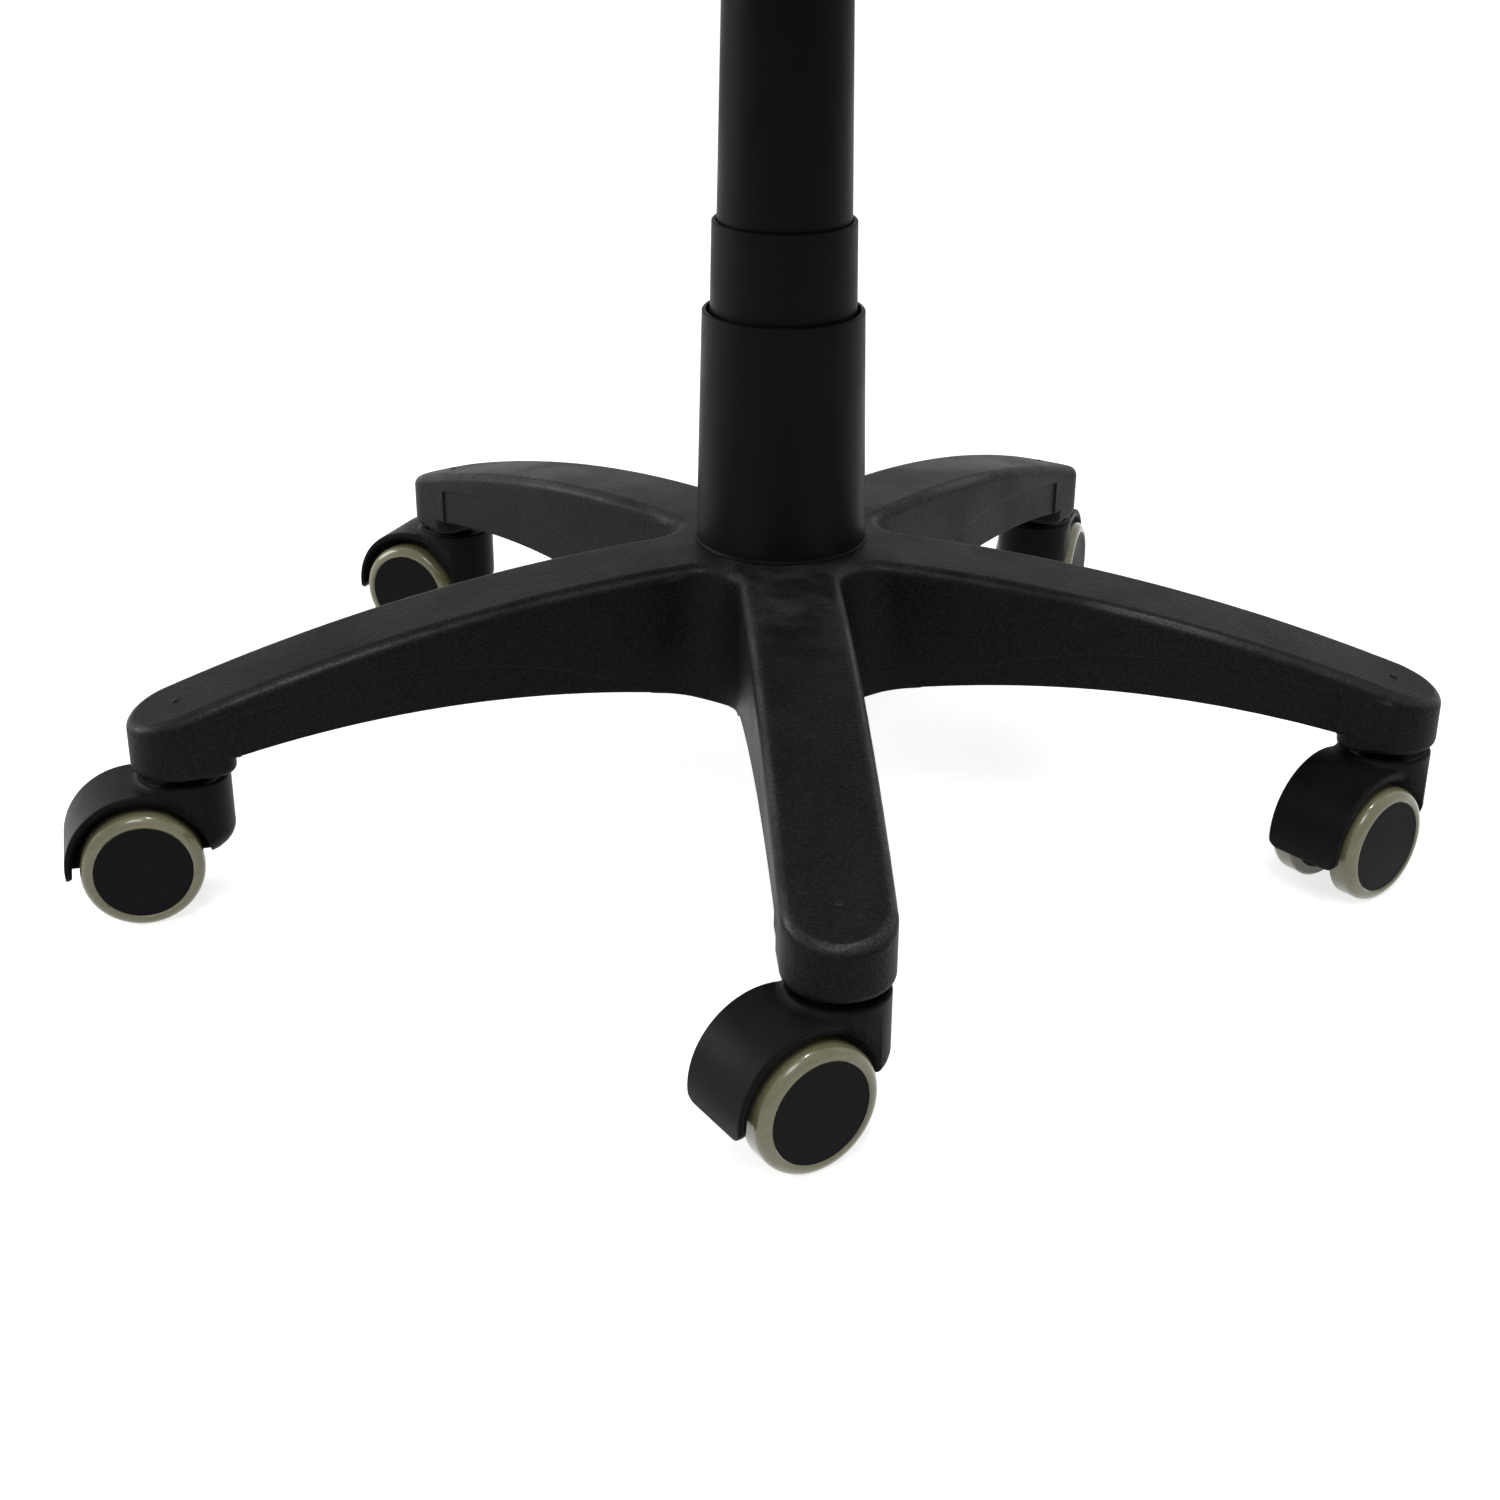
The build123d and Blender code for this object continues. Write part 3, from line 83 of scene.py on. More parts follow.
class Wiring:
    """Adds and joins nodes in one shader tree."""

    def __init__(self, tree: Tree) -> None:
        """Starts on the node tree of a material or a group."""
        self.tree = tree

    def node(
        self, kind: str, inputs: dict[str | int, Fed] | None = None, **settings: str | int
    ) -> Node:
        """Adds one node.

        Args:
            kind: The node's type name without the common prefix.
            inputs: Values, or sockets to join, by input name or number.
            **settings: Properties of the node itself.

        Returns:
            The new node.
        """
        made = self.tree.nodes.new("ShaderNode" + kind)
        for name, value in settings.items():
            setattr(made, name, value)
        for name, value in (inputs or {}).items():
            self.feed(made.inputs[name], value)
        return made

    def feed(self, socket: Socket, value: Fed) -> None:
        """Gives a socket a value or joins another socket to it.

        Args:
            socket: The input that is fed.
            value: A plain value, or the output socket of another node.
        """
        if isinstance(value, Socket):
            self.tree.links.new(value, socket)
        else:
            socket.default_value = value

    def math(self, operation: str, first: Fed, second: Fed = 0.0, clamp: bool = False) -> Socket:
        """Works out one operation on two numbers.

        Args:
            operation: The operation's name.
            first: A number or a socket.
            second: A number or a socket.
            clamp: Whether the result stays between 0 and 1.

        Returns:
            The result's socket.
        """
        made = self.node("Math", {0: first, 1: second}, operation=operation)
        made.use_clamp = clamp
        return made.outputs[0]

    def span(
        self, value: Fed, low: float, high: float, to_low: float = 0.0, to_high: float = 1.0
    ) -> Socket:
        """Maps a number smoothly from the span low to high to the span to_low to to_high."""
        spans = {0: value, 1: low, 2: high, 3: to_low, 4: to_high}
        return self.node("MapRange", spans, interpolation_type="SMOOTHSTEP").outputs[0]

    def noise(self, place: Fed, scale: Fed, detail: float, roughness: float) -> Socket:
        """Gives the value of a noise texture that changes about scale times in a metre."""
        inputs = {"Vector": place, "Scale": scale, "Detail": detail, "Roughness": roughness}
        return self.node("TexNoise", inputs).outputs["Fac"]

    def place(self) -> Socket:
        """Gives the point on the piece, in the piece's own axes."""
        return self.node("TexCoord").outputs["Object"]

    def upright(self, normal: Socket | None = None) -> Socket:
        """Measures how far a surface looks up.

        Args:
            normal: The surface's normal, or none for the mesh's own.

        Returns:
            1 where it looks up, 0 on a wall, -1 where it looks down.
        """
        if normal is None:
            normal = self.node("NewGeometry").outputs["Normal"]
        return self.node("SeparateXYZ", {0: normal}).outputs["Z"]

    def bump(self, strength: float, depth: float, height: Fed, normal: Fed | None = None) -> Socket:
        """Raises a surface's shading by a height.

        Args:
            strength: How much of it shows.
            depth: What a height of 1 is.
            height: The height's socket.
            normal: The normal that it starts from, or none for the mesh's own.

        Returns:
            The new normal's socket.
        """
        made = self.node("Bump", {"Strength": strength, "Distance": depth, "Height": height})
        if normal is not None:
            self.feed(made.inputs["Normal"], normal)
        return made.outputs[0]

    def blend(self, share: Fed, first: Fed, second: Fed) -> Socket:
        """Mixes two colours.

        Args:
            share: How much of the second colour shows, a number or a socket.
            first: A colour or a socket.
            second: A colour or a socket.

        Returns:
            The mixed colour's socket.
        """
        made = self.node("Mix", data_type="RGBA")
        self.feed(made.inputs[0], share)
        self.feed(made.inputs[6], first)
        self.feed(made.inputs[7], second)
        return made.outputs[2]


class SharedEffects:
    """Shader groups that several finishes place with their own values."""

    def __init__(self) -> None:
        """Builds each group once."""
        self.grain = self._grain()
        self.edge = self._edge()
        self.crest = self._crest()
        self.dust = self._dust()
        self.scuff = self._scuff()

    @staticmethod
    def _new(
        name: str, inputs: dict[str, float], outputs: tuple[str, ...]
    ) -> tuple[Tree, Wiring, Node, Node]:
        """Starts a group whose sockets are all plain numbers.

        Args:
            name: The group's name.
            inputs: Default value of each input by name.
            outputs: Names of the outputs.

        Returns:
            The tree, its wiring, its input node and its output node.
        """
        tree = bpy.data.node_groups.new(name, "ShaderNodeTree")
        for label, value in inputs.items():
            socket = tree.interface.new_socket(
                label, in_out="INPUT", socket_type="NodeSocketFloat"
            )
            socket.default_value = value
        for label in outputs:
            tree.interface.new_socket(label, in_out="OUTPUT", socket_type="NodeSocketFloat")
        given, put = (tree.nodes.new(kind) for kind in ("NodeGroupInput", "NodeGroupOutput"))
        return tree, Wiring(tree), given, put

    @staticmethod
    def _finish(wires: Wiring, mask: Socket, given: Node, put: Node) -> None:
        """Puts out a mask at the strength that the group's Amount asks for."""
        shown = wires.math("MULTIPLY", mask, given.outputs["Amount"], clamp=True)
        wires.feed(put.inputs["Mask"], shown)

    def _grain(self) -> Tree:
        """Moulded surface grain: small cells over a finer haze, and a slow change of tone.

        Returns:
            The group, with Height for bump, Tone for colour and gloss, and Speck for high spots.
        """
        tree, wires, given, put = self._new(
            "moulded_grain", {"Scale": 1500.0, "Cells": 0.5}, ("Height", "Tone", "Speck")
        )
        place, scale = wires.place(), given.outputs["Scale"]
        haze = wires.noise(place, scale, 3.0, 0.6)
        cells = wires.node("TexVoronoi", {"Vector": place, "Scale": scale, "Randomness": 1.0})
        slow = wires.noise(place, 24.0, 4.0, 0.55)
        hollows = wires.math("MULTIPLY", cells.outputs["Distance"], given.outputs["Cells"])
        wires.feed(put.inputs["Height"], wires.math("SUBTRACT", haze, hollows))
        wires.feed(put.inputs["Tone"], wires.span(slow, 0.3, 0.7))
        wires.feed(put.inputs["Speck"], wires.span(haze, 0.35, 0.7))
        return tree

    def _edge(self) -> Tree:
        """Rubbed edges: where the surface turns within a short width, broken up unevenly.

        Returns:
            The group, with Mask.
        """
        tree, wires, given, put = self._new(
            "edge_wear", {"Width": 1.5 * MM, "Amount": 0.5}, ("Mask",)
        )
        rounded = wires.node("Bevel", {"Radius": given.outputs["Width"]}, samples=6)
        flat = wires.node("NewGeometry").outputs["Normal"]
        agree = wires.node(
            "VectorMath", {0: rounded.outputs["Normal"], 1: flat}, operation="DOT_PRODUCT"
        )
        turned = wires.span(agree.outputs["Value"], 0.985, 0.85)
        patches = wires.noise(wires.place(), 70.0, 5.0, 0.7)
        broken = wires.math("MULTIPLY", turned, wires.span(patches, 0.42, 0.68))
        self._finish(wires, broken, given, put)
        return tree

    def _crest(self) -> Tree:
        """Polished crests: where a moulding turns from its top to its side and gets rubbed.

        Returns:
            The group, with Mask.
        """
        tree, wires, given, put = self._new(
            "rubbed_crest", {"Width": 3.0 * MM, "Amount": 0.5}, ("Mask",)
        )
        rounded = wires.node("Bevel", {"Radius": given.outputs["Width"]}, samples=8)
        up = wires.upright(rounded.outputs["Normal"])
        turning = wires.math("MULTIPLY", wires.span(up, 0.25, 0.60), wires.span(up, 0.95, 0.82))
        place = wires.place()
        patches = wires.noise(place, 11.0, 5.0, 0.6)
        sparkle = wires.noise(place, 1100.0, 2.0, 0.5)
        broad = wires.span(patches, 0.36, 0.62, 0.12, 1.0)
        uneven = wires.math("MULTIPLY", broad, wires.span(sparkle, 0.35, 0.60, 0.4, 1.0))
        self._finish(wires, wires.math("MULTIPLY", turning, uneven), given, put)
        return tree

    def _dust(self) -> Tree:
        """Settled dust: a thin film on faces that look up, thicker in patches.

        Returns:
            The group, with Mask.
        """
        tree, wires, given, put = self._new("settled_dust", {"Amount": 0.2}, ("Mask",))
        place = wires.place()
        patches = wires.noise(place, 38.0, 6.0, 0.65)
        specks = wires.noise(place, 900.0, 2.0, 0.5)
        level = wires.span(wires.upright(), 0.1, 0.95)
        film = wires.math("MULTIPLY", level, wires.span(patches, 0.35, 0.75))
        uneven = wires.span(specks, 0.3, 0.7, 0.5, 1.0)
        self._finish(wires, wires.math("MULTIPLY", film, uneven), given, put)
        return tree

    def _scuff(self) -> Tree:
        """Scuffs: short pale rub marks scattered over a surface.

        Returns:
            The group, with Mask.
        """
        tree, wires, given, put = self._new("scuff_marks", {"Amount": 0.3}, ("Mask",))
        place = wires.place()
        slant = {"Vector": place, "Rotation": (0.5, 0.3, 0.9), "Scale": (260.0, 45.0, 160.0)}
        streaks = wires.noise(wires.node("Mapping", slant).outputs[0], 1.0, 4.0, 0.7)
        where = wires.noise(place, 16.0, 2.0, 0.5)
        found = wires.span(where, 0.52, 0.68)
        marks = wires.math("MULTIPLY", wires.span(streaks, 0.6, 0.75), found)
        self._finish(wires, marks, given, put)
        return tree


@dataclass(frozen=True)
class MouldedFinish:
    """A moulded plastic, rubber or powder coat with grain, rubbed edges, dust and scuffs, and where
    asked painted light round the column.
    """

    name: str
    colour: Colour
    light_colour: Colour
    worn_colour: Colour
    roughness: float
    gloss: float
    grain_scale: float
    grain_depth: float
    cells: float = 0.5
    speckle: float = 0.3
    soft_edge: float = 0.6 * MM
    edge_width: float = 1.5 * MM
    edge_amount: float = 0.4
    dust_amount: float = 0.15
    # Dust and painted light round the column: the top is drawn lighter there, as if better lit.
    hub_dust_and_light: float = 0.0
    scuff_amount: float = 0.2
    crest_amount: float = 0.0
    crest_width: float = 3.0 * MM
    hub_reach: tuple[float, float] = (160 * MM, 50 * MM)
    gloss_spread: float = 0.05
    worn_dullness: float = 0.3
    coat: float = 0.0
    coat_roughness: float = 0.25

    def material(self, effects: SharedEffects) -> Material:
        """Builds the material.

        Args:
            effects: The shared shader groups.

        Returns:
            The finished material.
        """
        plain = {"Specular IOR Level": self.gloss, "Coat Weight": self.coat}
        plain["Coat Roughness"] = self.coat_roughness
        made, wires, shader = start_material(self.name, plain)
        grain = place_group(wires, effects.grain, Scale=self.grain_scale, Cells=self.cells)
        edge = place_group(wires, effects.edge, Width=self.edge_width, Amount=self.edge_amount)
        dust = place_group(wires, effects.dust, Amount=self.dust_amount)
        # Near the column the dust mask also carries painted light: a lighter pool on the base's top
        # round the column.
        if self.hub_dust_and_light:
            wires.feed(dust.inputs["Amount"], self._hub_dust_and_light(wires))
        scuff = place_group(wires, effects.scuff, Amount=self.scuff_amount)
        slow = wires.math("MULTIPLY", grain.outputs["Tone"], 1 - self.speckle)
        fine = wires.math("MULTIPLY", grain.outputs["Speck"], self.speckle)
        share = wires.math("ADD", slow, fine)
        tone = wires.blend(share, (*self.colour, 1), (*self.light_colour, 1))
        rubbed = wires.math("MAXIMUM", edge.outputs["Mask"], scuff.outputs["Mask"])
        # Edge wear, scuffs and dust, plus the painted light round the column where a finish asks
        # for it.
        marks_and_light = wires.math("MAXIMUM", rubbed, dust.outputs["Mask"])
        wires.feed(shader.inputs["Base Color"], wires.blend(marks_and_light, tone, (*self.worn_colour, 1)))
        smooth, dull = self.roughness - self.gloss_spread, self.roughness + self.gloss_spread
        uneven = wires.span(grain.outputs["Tone"], 0.0, 1.0, smooth, dull)
        dulled = wires.math("MULTIPLY", marks_and_light, self.worn_dullness)
        wires.feed(shader.inputs["Roughness"], wires.math("ADD", uneven, dulled, clamp=True))
        if self.crest_amount:
            crest = place_group(
                wires, effects.crest, Width=self.crest_width, Amount=self.crest_amount
            )
            wires.feed(shader.inputs["Coat Weight"], crest.outputs["Mask"])
        rounded = wires.node("Bevel", {"Radius": self.soft_edge}, samples=6)
        normal = wires.bump(1.0, self.grain_depth, grain.outputs["Height"], rounded.outputs[0])
        wires.feed(shader.inputs["Normal"], normal)
        return made

    def _hub_dust_and_light(self, wires: Wiring) -> Socket:
        """Dust that gathers round the column, where nothing rubs it off, and a painted pool of
        light there.

        Args:
            wires: The material's wiring.

        Returns:
            How much dust there is, by the distance from the column's axis.
        """
        place = wires.node("SeparateXYZ", {0: wires.place()})
        flat = wires.node("CombineXYZ", {0: place.outputs["X"], 1: place.outputs["Y"]})
        away = wires.node("VectorMath", {0: flat.outputs[0]}, operation="LENGTH").outputs["Value"]
        far, near = self.hub_reach
        return wires.span(away, far, near, self.dust_amount, self.dust_amount + self.hub_dust_and_light)


@dataclass(frozen=True)
class MetalFinish:
    """Bare or plated metal with fine brushing and slight tarnish."""

    name: str
    colour: Colour
    tarnish: Colour
    roughness: float
    brushing: Vector
    depth: float
    soft_edge: float = 0.3 * MM

    def material(self, effects: SharedEffects) -> Material:
        """Builds the material.

        Args:
            effects: The shared shader groups.

        Returns:
            The finished material.
        """
        made, wires, shader = start_material(self.name, {"Metallic": 1.0})
        grain = place_group(wires, effects.grain, Scale=900.0, Cells=0.0)
        drawn = wires.node("Mapping", {"Vector": wires.place(), "Scale": self.brushing})
        lines = wires.noise(drawn.outputs[0], 1.0, 3.0, 0.6)
        tone = wires.blend(grain.outputs["Tone"], (*self.colour, 1), (*self.tarnish, 1))
        wires.feed(shader.inputs["Base Color"], tone)
        uneven = wires.span(lines, 0.3, 0.7, self.roughness - 0.06, self.roughness + 0.08)
        wires.feed(shader.inputs["Roughness"], uneven)
        rounded = wires.node("Bevel", {"Radius": self.soft_edge}, samples=4)
        wires.feed(shader.inputs["Normal"], wires.bump(0.6, self.depth, lines, rounded.outputs[0]))
        return made


@dataclass(frozen=True)
class LeatherFinish:
    """Coated upholstery cloth with a soft cell grain, painted shade in its valleys, and slow
    creases.
    """

    name: str
    colour: Colour
    # Painted shade: the colour of the grain's valleys.
    valley_shade_colour: Colour
    roughness: float
    gloss: float
    cell: float
    depth: float
    crease_scale: float = 32.0
    crease_depth: float = 3 * MM
    dust_amount: float = 0.06
    dust_colour: Colour = (0.2, 0.19, 0.18)

    def material(self, effects: SharedEffects) -> Material:
        """Builds the material.

        Args:
            effects: The shared shader groups.

        Returns:
            The finished material.
        """
        made, wires, shader = start_material(self.name, {"Specular IOR Level": self.gloss})
        place = wires.place()
        coarse = {"Vector": place, "Scale": 0.4 / self.cell, "Detail": 2.0, "Roughness": 0.5}
        stir = wires.node("TexNoise", coarse).outputs["Color"]
        moved = wires.node("VectorMath", {0: stir, 3: 0.8 * self.cell}, operation="SCALE")
        warped = wires.node("VectorMath", {0: place, 1: moved.outputs[0]}, operation="ADD")
        spread = {"Vector": warped.outputs[0], "Scale": 1.0 / self.cell}
        cells = wires.node("TexVoronoi", spread, feature="DISTANCE_TO_EDGE")
        valley = wires.span(cells.outputs["Distance"], 0.0, 0.22)
        pores = wires.noise(place, 3.0 / self.cell, 2.0, 0.6)
        creases = wires.noise(place, self.crease_scale, 5.0, 0.6)
        dust = place_group(wires, effects.dust, Amount=self.dust_amount).outputs["Mask"]
        # Painted shade: the grain's valleys are drawn darker than its cells.
        dark = wires.blend(valley, (*self.valley_shade_colour, 1), (*self.colour, 1))
        wires.feed(shader.inputs["Base Color"], wires.blend(dust, dark, (*self.dust_colour, 1)))
        sheen = wires.span(creases, 0.3, 0.7, self.roughness - 0.06, self.roughness + 0.08)
        wires.feed(shader.inputs["Roughness"], sheen)
        height = wires.math("ADD", valley, wires.math("MULTIPLY", pores, 0.25))
        fine = wires.bump(0.7, self.depth, height)
        wires.feed(shader.inputs["Normal"], wires.bump(0.20, self.crease_depth, creases, fine))
        return made


@dataclass(frozen=True)
class PlywoodFinish:
    """Birch plywood: grain along one way on the faces and layers across the edge."""

    name: str
    pale: Colour
    dark: Colour
    layer: float
    fibre_scale: Triple = (9.0, 140.0, 60.0)
    fibre_depth: float = 0.15 * MM

    def material(self, effects: SharedEffects) -> Material:
        """Builds the material.

        Args:
            effects: The shared shader groups.

        Returns:
            The finished material.
        """
        made, wires, shader = start_material(self.name, {})
        place = wires.place()
        drawn = wires.node("Mapping", {"Vector": place, "Scale": self.fibre_scale})
        fibre = wires.noise(drawn.outputs[0], 1.0, 6.0, 0.65)
        bands = wires.node("Mapping", {"Vector": place, "Scale": (0.0, 0.0, math.pi / self.layer)})
        ripple = {"Vector": bands.outputs[0], "Scale": 0.3, "Distortion": 0.4}
        layers = wires.node("TexWave", ripple, bands_direction="Z")
        on_edge = wires.span(wires.math("ABSOLUTE", wires.upright()), 0.8, 0.3)
        share = wires.math("MULTIPLY", layers.outputs["Fac"], wires.math("MULTIPLY", on_edge, 0.8))
        face = wires.blend(wires.span(fibre, 0.3, 0.75), (*self.pale, 1), (*self.dark, 1))
        wires.feed(shader.inputs["Base Color"], wires.blend(share, face, (*self.dark, 1)))
        tone = place_group(wires, effects.grain, Scale=700.0, Cells=0.0).outputs["Tone"]
        wires.feed(shader.inputs["Roughness"], wires.span(tone, 0.0, 1.0, 0.62, 0.75))
        wires.feed(shader.inputs["Normal"], wires.bump(0.3, self.fibre_depth, fibre))
        return made


def start_material(name: str, plain: dict[str, Fed]) -> tuple[Material, Wiring, Node]:
    """Starts a material on its plain shader.

    Args:
        name: The material's name.
        plain: What is the same all over the surface, by the shader's input.

    Returns:
        The material, its wiring and its shader.
    """
    made = bpy.data.materials.new(name)
    made.use_nodes = True
    shader = made.node_tree.nodes["Principled BSDF"]
    for label, value in plain.items():
        shader.inputs[label].default_value = value
    return made, Wiring(made.node_tree), shader


def place_group(wires: Wiring, tree: Tree, **values: float) -> Node:
    """Places a shared group in a material.

    Args:
        wires: The material's wiring.
        tree: The group.
        **values: The group's inputs by name.

    Returns:
        The group's node.
    """
    made = wires.tree.nodes.new("ShaderNodeGroup")
    made.node_tree = tree
    for label, value in values.items():
        made.inputs[label].default_value = value
    return made


def dress(node: str, material: Material) -> None:
    """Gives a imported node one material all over.

    Args:
        node: The node's name.
        material: Its finish.
    """
    mesh = frame["nodes"][node].data
    mesh.materials.clear()
    mesh.materials.append(material)
    LOG.info("%s: %s", node, material.name)


def new_piece(
    name: str, shape: bmesh.types.BMesh, material: Material, smooth: bool = True
) -> Piece:
    """Turns a bmesh into an object at the origin.

    Args:
        name: The piece's name.
        shape: The mesh under construction, freed here.
        material: Its finish.
        smooth: Whether its faces are shaded smooth.

    Returns:
        The new object.
    """
    mesh = bpy.data.meshes.new(name)
    bmesh.ops.recalc_face_normals(shape, faces=shape.faces)
    shape.to_mesh(mesh)
    shape.free()
    mesh.polygons.foreach_set("use_smooth", [smooth] * len(mesh.polygons))
    mesh.materials.append(material)
    made = bpy.data.objects.new(name, mesh)
    bpy.context.scene.collection.objects.link(made)
    LOG.info("%s: %d faces", name, len(mesh.polygons))
    return made


def settle(piece: Piece) -> None:
    """Puts the result of a piece's modifiers into its mesh.

    Args:
        piece: The piece.
    """
    graph = bpy.context.evaluated_depsgraph_get()
    mesh = bpy.data.meshes.new_from_object(piece.evaluated_get(graph))
    piece.modifiers.clear()
    old = piece.data
    piece.data = mesh
    bpy.data.meshes.remove(old)


def joint_place(name: str) -> Vector:
    """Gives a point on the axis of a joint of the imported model."""
    found = next(joint for joint in frame["joints"] if joint["name"] == name)
    return Vector(found["pos_m"])


def quarter_turn(steps: int) -> list[float]:
    """Gives the angles of a quarter turn in even steps, in radians."""
    return [math.pi / 2 * step / steps for step in range(steps + 1)]


@dataclass
class StarBase:
    """The moulded base with its five arms."""

    gate_radius: float = 1.7 * MM
    gate_rise: float = 0.55 * MM
    above: float = 1.0
    nylon: MouldedFinish = MouldedFinish(
        name="base_nylon",
        colour=(0.0030, 0.0030, 0.0034),
        light_colour=(0.0139, 0.0137, 0.0164),
        worn_colour=(0.079, 0.078, 0.087),
        roughness=0.47,
        gloss=0.06,
        grain_scale=850.0,
        grain_depth=0.22 * MM,
        cells=0.7,
        speckle=0.8,
        soft_edge=1.8 * MM,
        edge_amount=0.30,
        dust_amount=0.06,
        # Dust and painted light round the column.
        hub_dust_and_light=0.60,
        scuff_amount=0.25,
        crest_amount=0.50,
        coat_roughness=0.36,
    )

    def build(self, effects: SharedEffects) -> None:
        """Finishes the base.

        Args:
            effects: The shared shader groups.
        """
        nylon = self.nylon.material(effects)
        dress("base_star", nylon)
        gates = self.gates(nylon)
        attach(gates, "base")

    def gates(self, nylon: Material) -> Piece:
        """Makes the small nubs that the mould's gates left on the arms' tips.

        Args:
            nylon: The base's finish.

        Returns:
            All five nubs in one piece.
        """
        graph = bpy.context.evaluated_depsgraph_get()
        surface = BVHTree.FromObject(frame["nodes"]["base_star"], graph)
        flat = Matrix.Diagonal((1, 1, self.gate_rise / self.gate_radius, 1))
        shape = bmesh.new()
        for spot in Spot:
            stem = joint_place(f"{spot.value}_caster_swivel")
            place, normal = surface.ray_cast(Vector((stem.x, stem.y, self.above)), -UP)[:2]
            turn = UP.rotation_difference(normal).to_matrix().to_4x4()
            bmesh.ops.create_uvsphere(
                shape,
                u_segments=20,
                v_segments=12,
                radius=self.gate_radius,
                matrix=Matrix.Translation(place) @ turn @ flat,
            )
        return new_piece("moulding_gates", shape, nylon)


@dataclass
class Casters:
    """Five hooded twin-wheel casters and their stems."""

    cup_radius: float = 19.2 * MM
    cup_foot: float = 26.0 * MM
    foot_round: float = 9.0 * MM
    foot_clear: float = 0.15 * MM
    foot_reach: float = 26.0 * MM
    foot_sweep: float = math.radians(160)
    fender_radius: float = 31.0 * MM
    fender_wall: float = 2.7 * MM
    fender_height: float = 26.0 * MM
    fender_axle: float = 20.0 * MM
    tail_half: float = 17.2 * MM
    tail_foot: float = 23.5 * MM
    tail_drop: float = 2.6 * MM
    tail_round: float = 5.0 * MM
    tail_start: float = 40.0 * MM
    tail_run: float = 16.0 * MM
    margin: float = 3.0 * MM
    merge: float = 0.005 * MM
    level: float = 0.01 * MM
    sharp_turn: float = math.radians(35)
    foot_steps: int = 10
    sweep_steps: int = 40
    tail_steps: int = 8
    hood: MouldedFinish = MouldedFinish(
        name="hood_plastic",
        colour=(0.0034, 0.0034, 0.0038),
        light_colour=(0.0068, 0.0068, 0.0074),
        worn_colour=(0.08, 0.08, 0.08),
        roughness=0.44,
        gloss=0.05,
        grain_scale=2000.0,
        grain_depth=0.05 * MM,
        edge_amount=0.15,
        dust_amount=0.05,
        scuff_amount=0.12,
    )
    hub: MouldedFinish = MouldedFinish(
        name="hub_plastic",
        colour=(0.0044, 0.0046, 0.0054),
        light_colour=(0.0086, 0.0090, 0.0102),
        worn_colour=(0.08, 0.08, 0.09),
        roughness=0.5,
        gloss=0.05,
        grain_scale=1500.0,
        grain_depth=0.04 * MM,
        speckle=0.6,
        soft_edge=0.3 * MM,
        edge_width=0.75 * MM,
        edge_amount=0.1,
        dust_amount=0.04,
        scuff_amount=0.25,
    )
    tread: MouldedFinish = MouldedFinish(
        name="tread_polyurethane",
        colour=(0.138, 0.130, 0.064),
        light_colour=(0.196, 0.185, 0.102),
        worn_colour=(0.10, 0.09, 0.06),
        roughness=0.22,
        gloss=0.32,
        coat=0.6,
        coat_roughness=0.05,
        grain_scale=600.0,
        grain_depth=0.015 * MM,
        cells=0.1,
        soft_edge=0.4 * MM,
        edge_width=1.0 * MM,
        edge_amount=0.25,
        dust_amount=0.10,
        scuff_amount=0.25,
    )
    steel: MetalFinish = MetalFinish(
        name="plated_steel",
        colour=(0.52, 0.52, 0.53),
        tarnish=(0.40, 0.39, 0.37),
        roughness=0.34,
        brushing=Vector((300.0, 300.0, 4000.0)),
        depth=0.01 * MM,
    )

    def build(self, effects: SharedEffects) -> Material:
        """Finishes every caster.

        Args:
            effects: The shared shader groups.

        Returns:
            The plated steel, which the seat's fasteners share.
        """
        steel = self.steel.material(effects)
        hood = self.hood.material(effects)
        hub = self.hub.material(effects)
        tread = self.tread.material(effects)
        trimmed = self.trimmed_hood(hood)
        for spot in Spot:
            dress(f"{spot.value}_hood", hood)
            self.show_hood(spot, trimmed, hood)
            dress(f"{spot.value}_axle", steel)
            for wheel in ("a", "b"):
                dress(f"{spot.value}_core_{wheel}", hub)
                dress(f"{spot.value}_tread_{wheel}", tread)
        for node in ("caster_stems", "stem_grip_rings"):
            dress(node, steel)
        return steel

    def trimmed_hood(self, finish: Material) -> bpy.types.Mesh:
        """Shapes the hood that shows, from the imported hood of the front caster.

        Its fender ends at the cup's rounded foot, and its tail in a thin lip with round corners.

        Args:
            finish: The hood's finish.

        Returns:
            The hood's mesh in a caster's own axes.
        """
        shape = bmesh.new()
        shape.from_mesh(frame["nodes"][f"{Spot.FRONT.value}_hood"].data)
        bmesh.ops.remove_doubles(shape, verts=shape.verts, dist=self.merge)
        bmesh.ops.transform(shape, matrix=self._place(Spot.FRONT).inverted(), verts=shape.verts)
        self._draw_tail(shape)
        hood = new_piece("hood_shape", shape, finish)
        cutter = new_piece("hood_cutter", self._cutter(), finish)
        trim = hood.modifiers.new("trim", "BOOLEAN")
        trim.operation = "DIFFERENCE"
        trim.solver = "EXACT"
        trim.object = cutter
        settle(hood)
        mesh = hood.data
        for scrap in (hood, cutter):
            bpy.data.objects.remove(scrap)
        return mesh

    def show_hood(self, spot: Spot, mesh: bpy.types.Mesh, finish: Material) -> None:
        """Puts a trimmed hood in the place of a packed one.

        Args:
            spot: Which caster.
            mesh: The trimmed hood in a caster's own axes.
            finish: The hood's finish.
        """
        shape = bmesh.new()
        shape.from_mesh(mesh)
        bmesh.ops.transform(shape, matrix=self._place(spot), verts=shape.verts)
        hood = new_piece(f"{spot.value}_trimmed_hood", shape, finish)
        hood.data.set_sharp_from_angle(angle=self.sharp_turn)
        even = hood.modifiers.new("even_shading", "WEIGHTED_NORMAL")
        even.keep_sharp = True
        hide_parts(f"{spot.value}_hood")
        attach(hood, f"{spot.value}_caster")

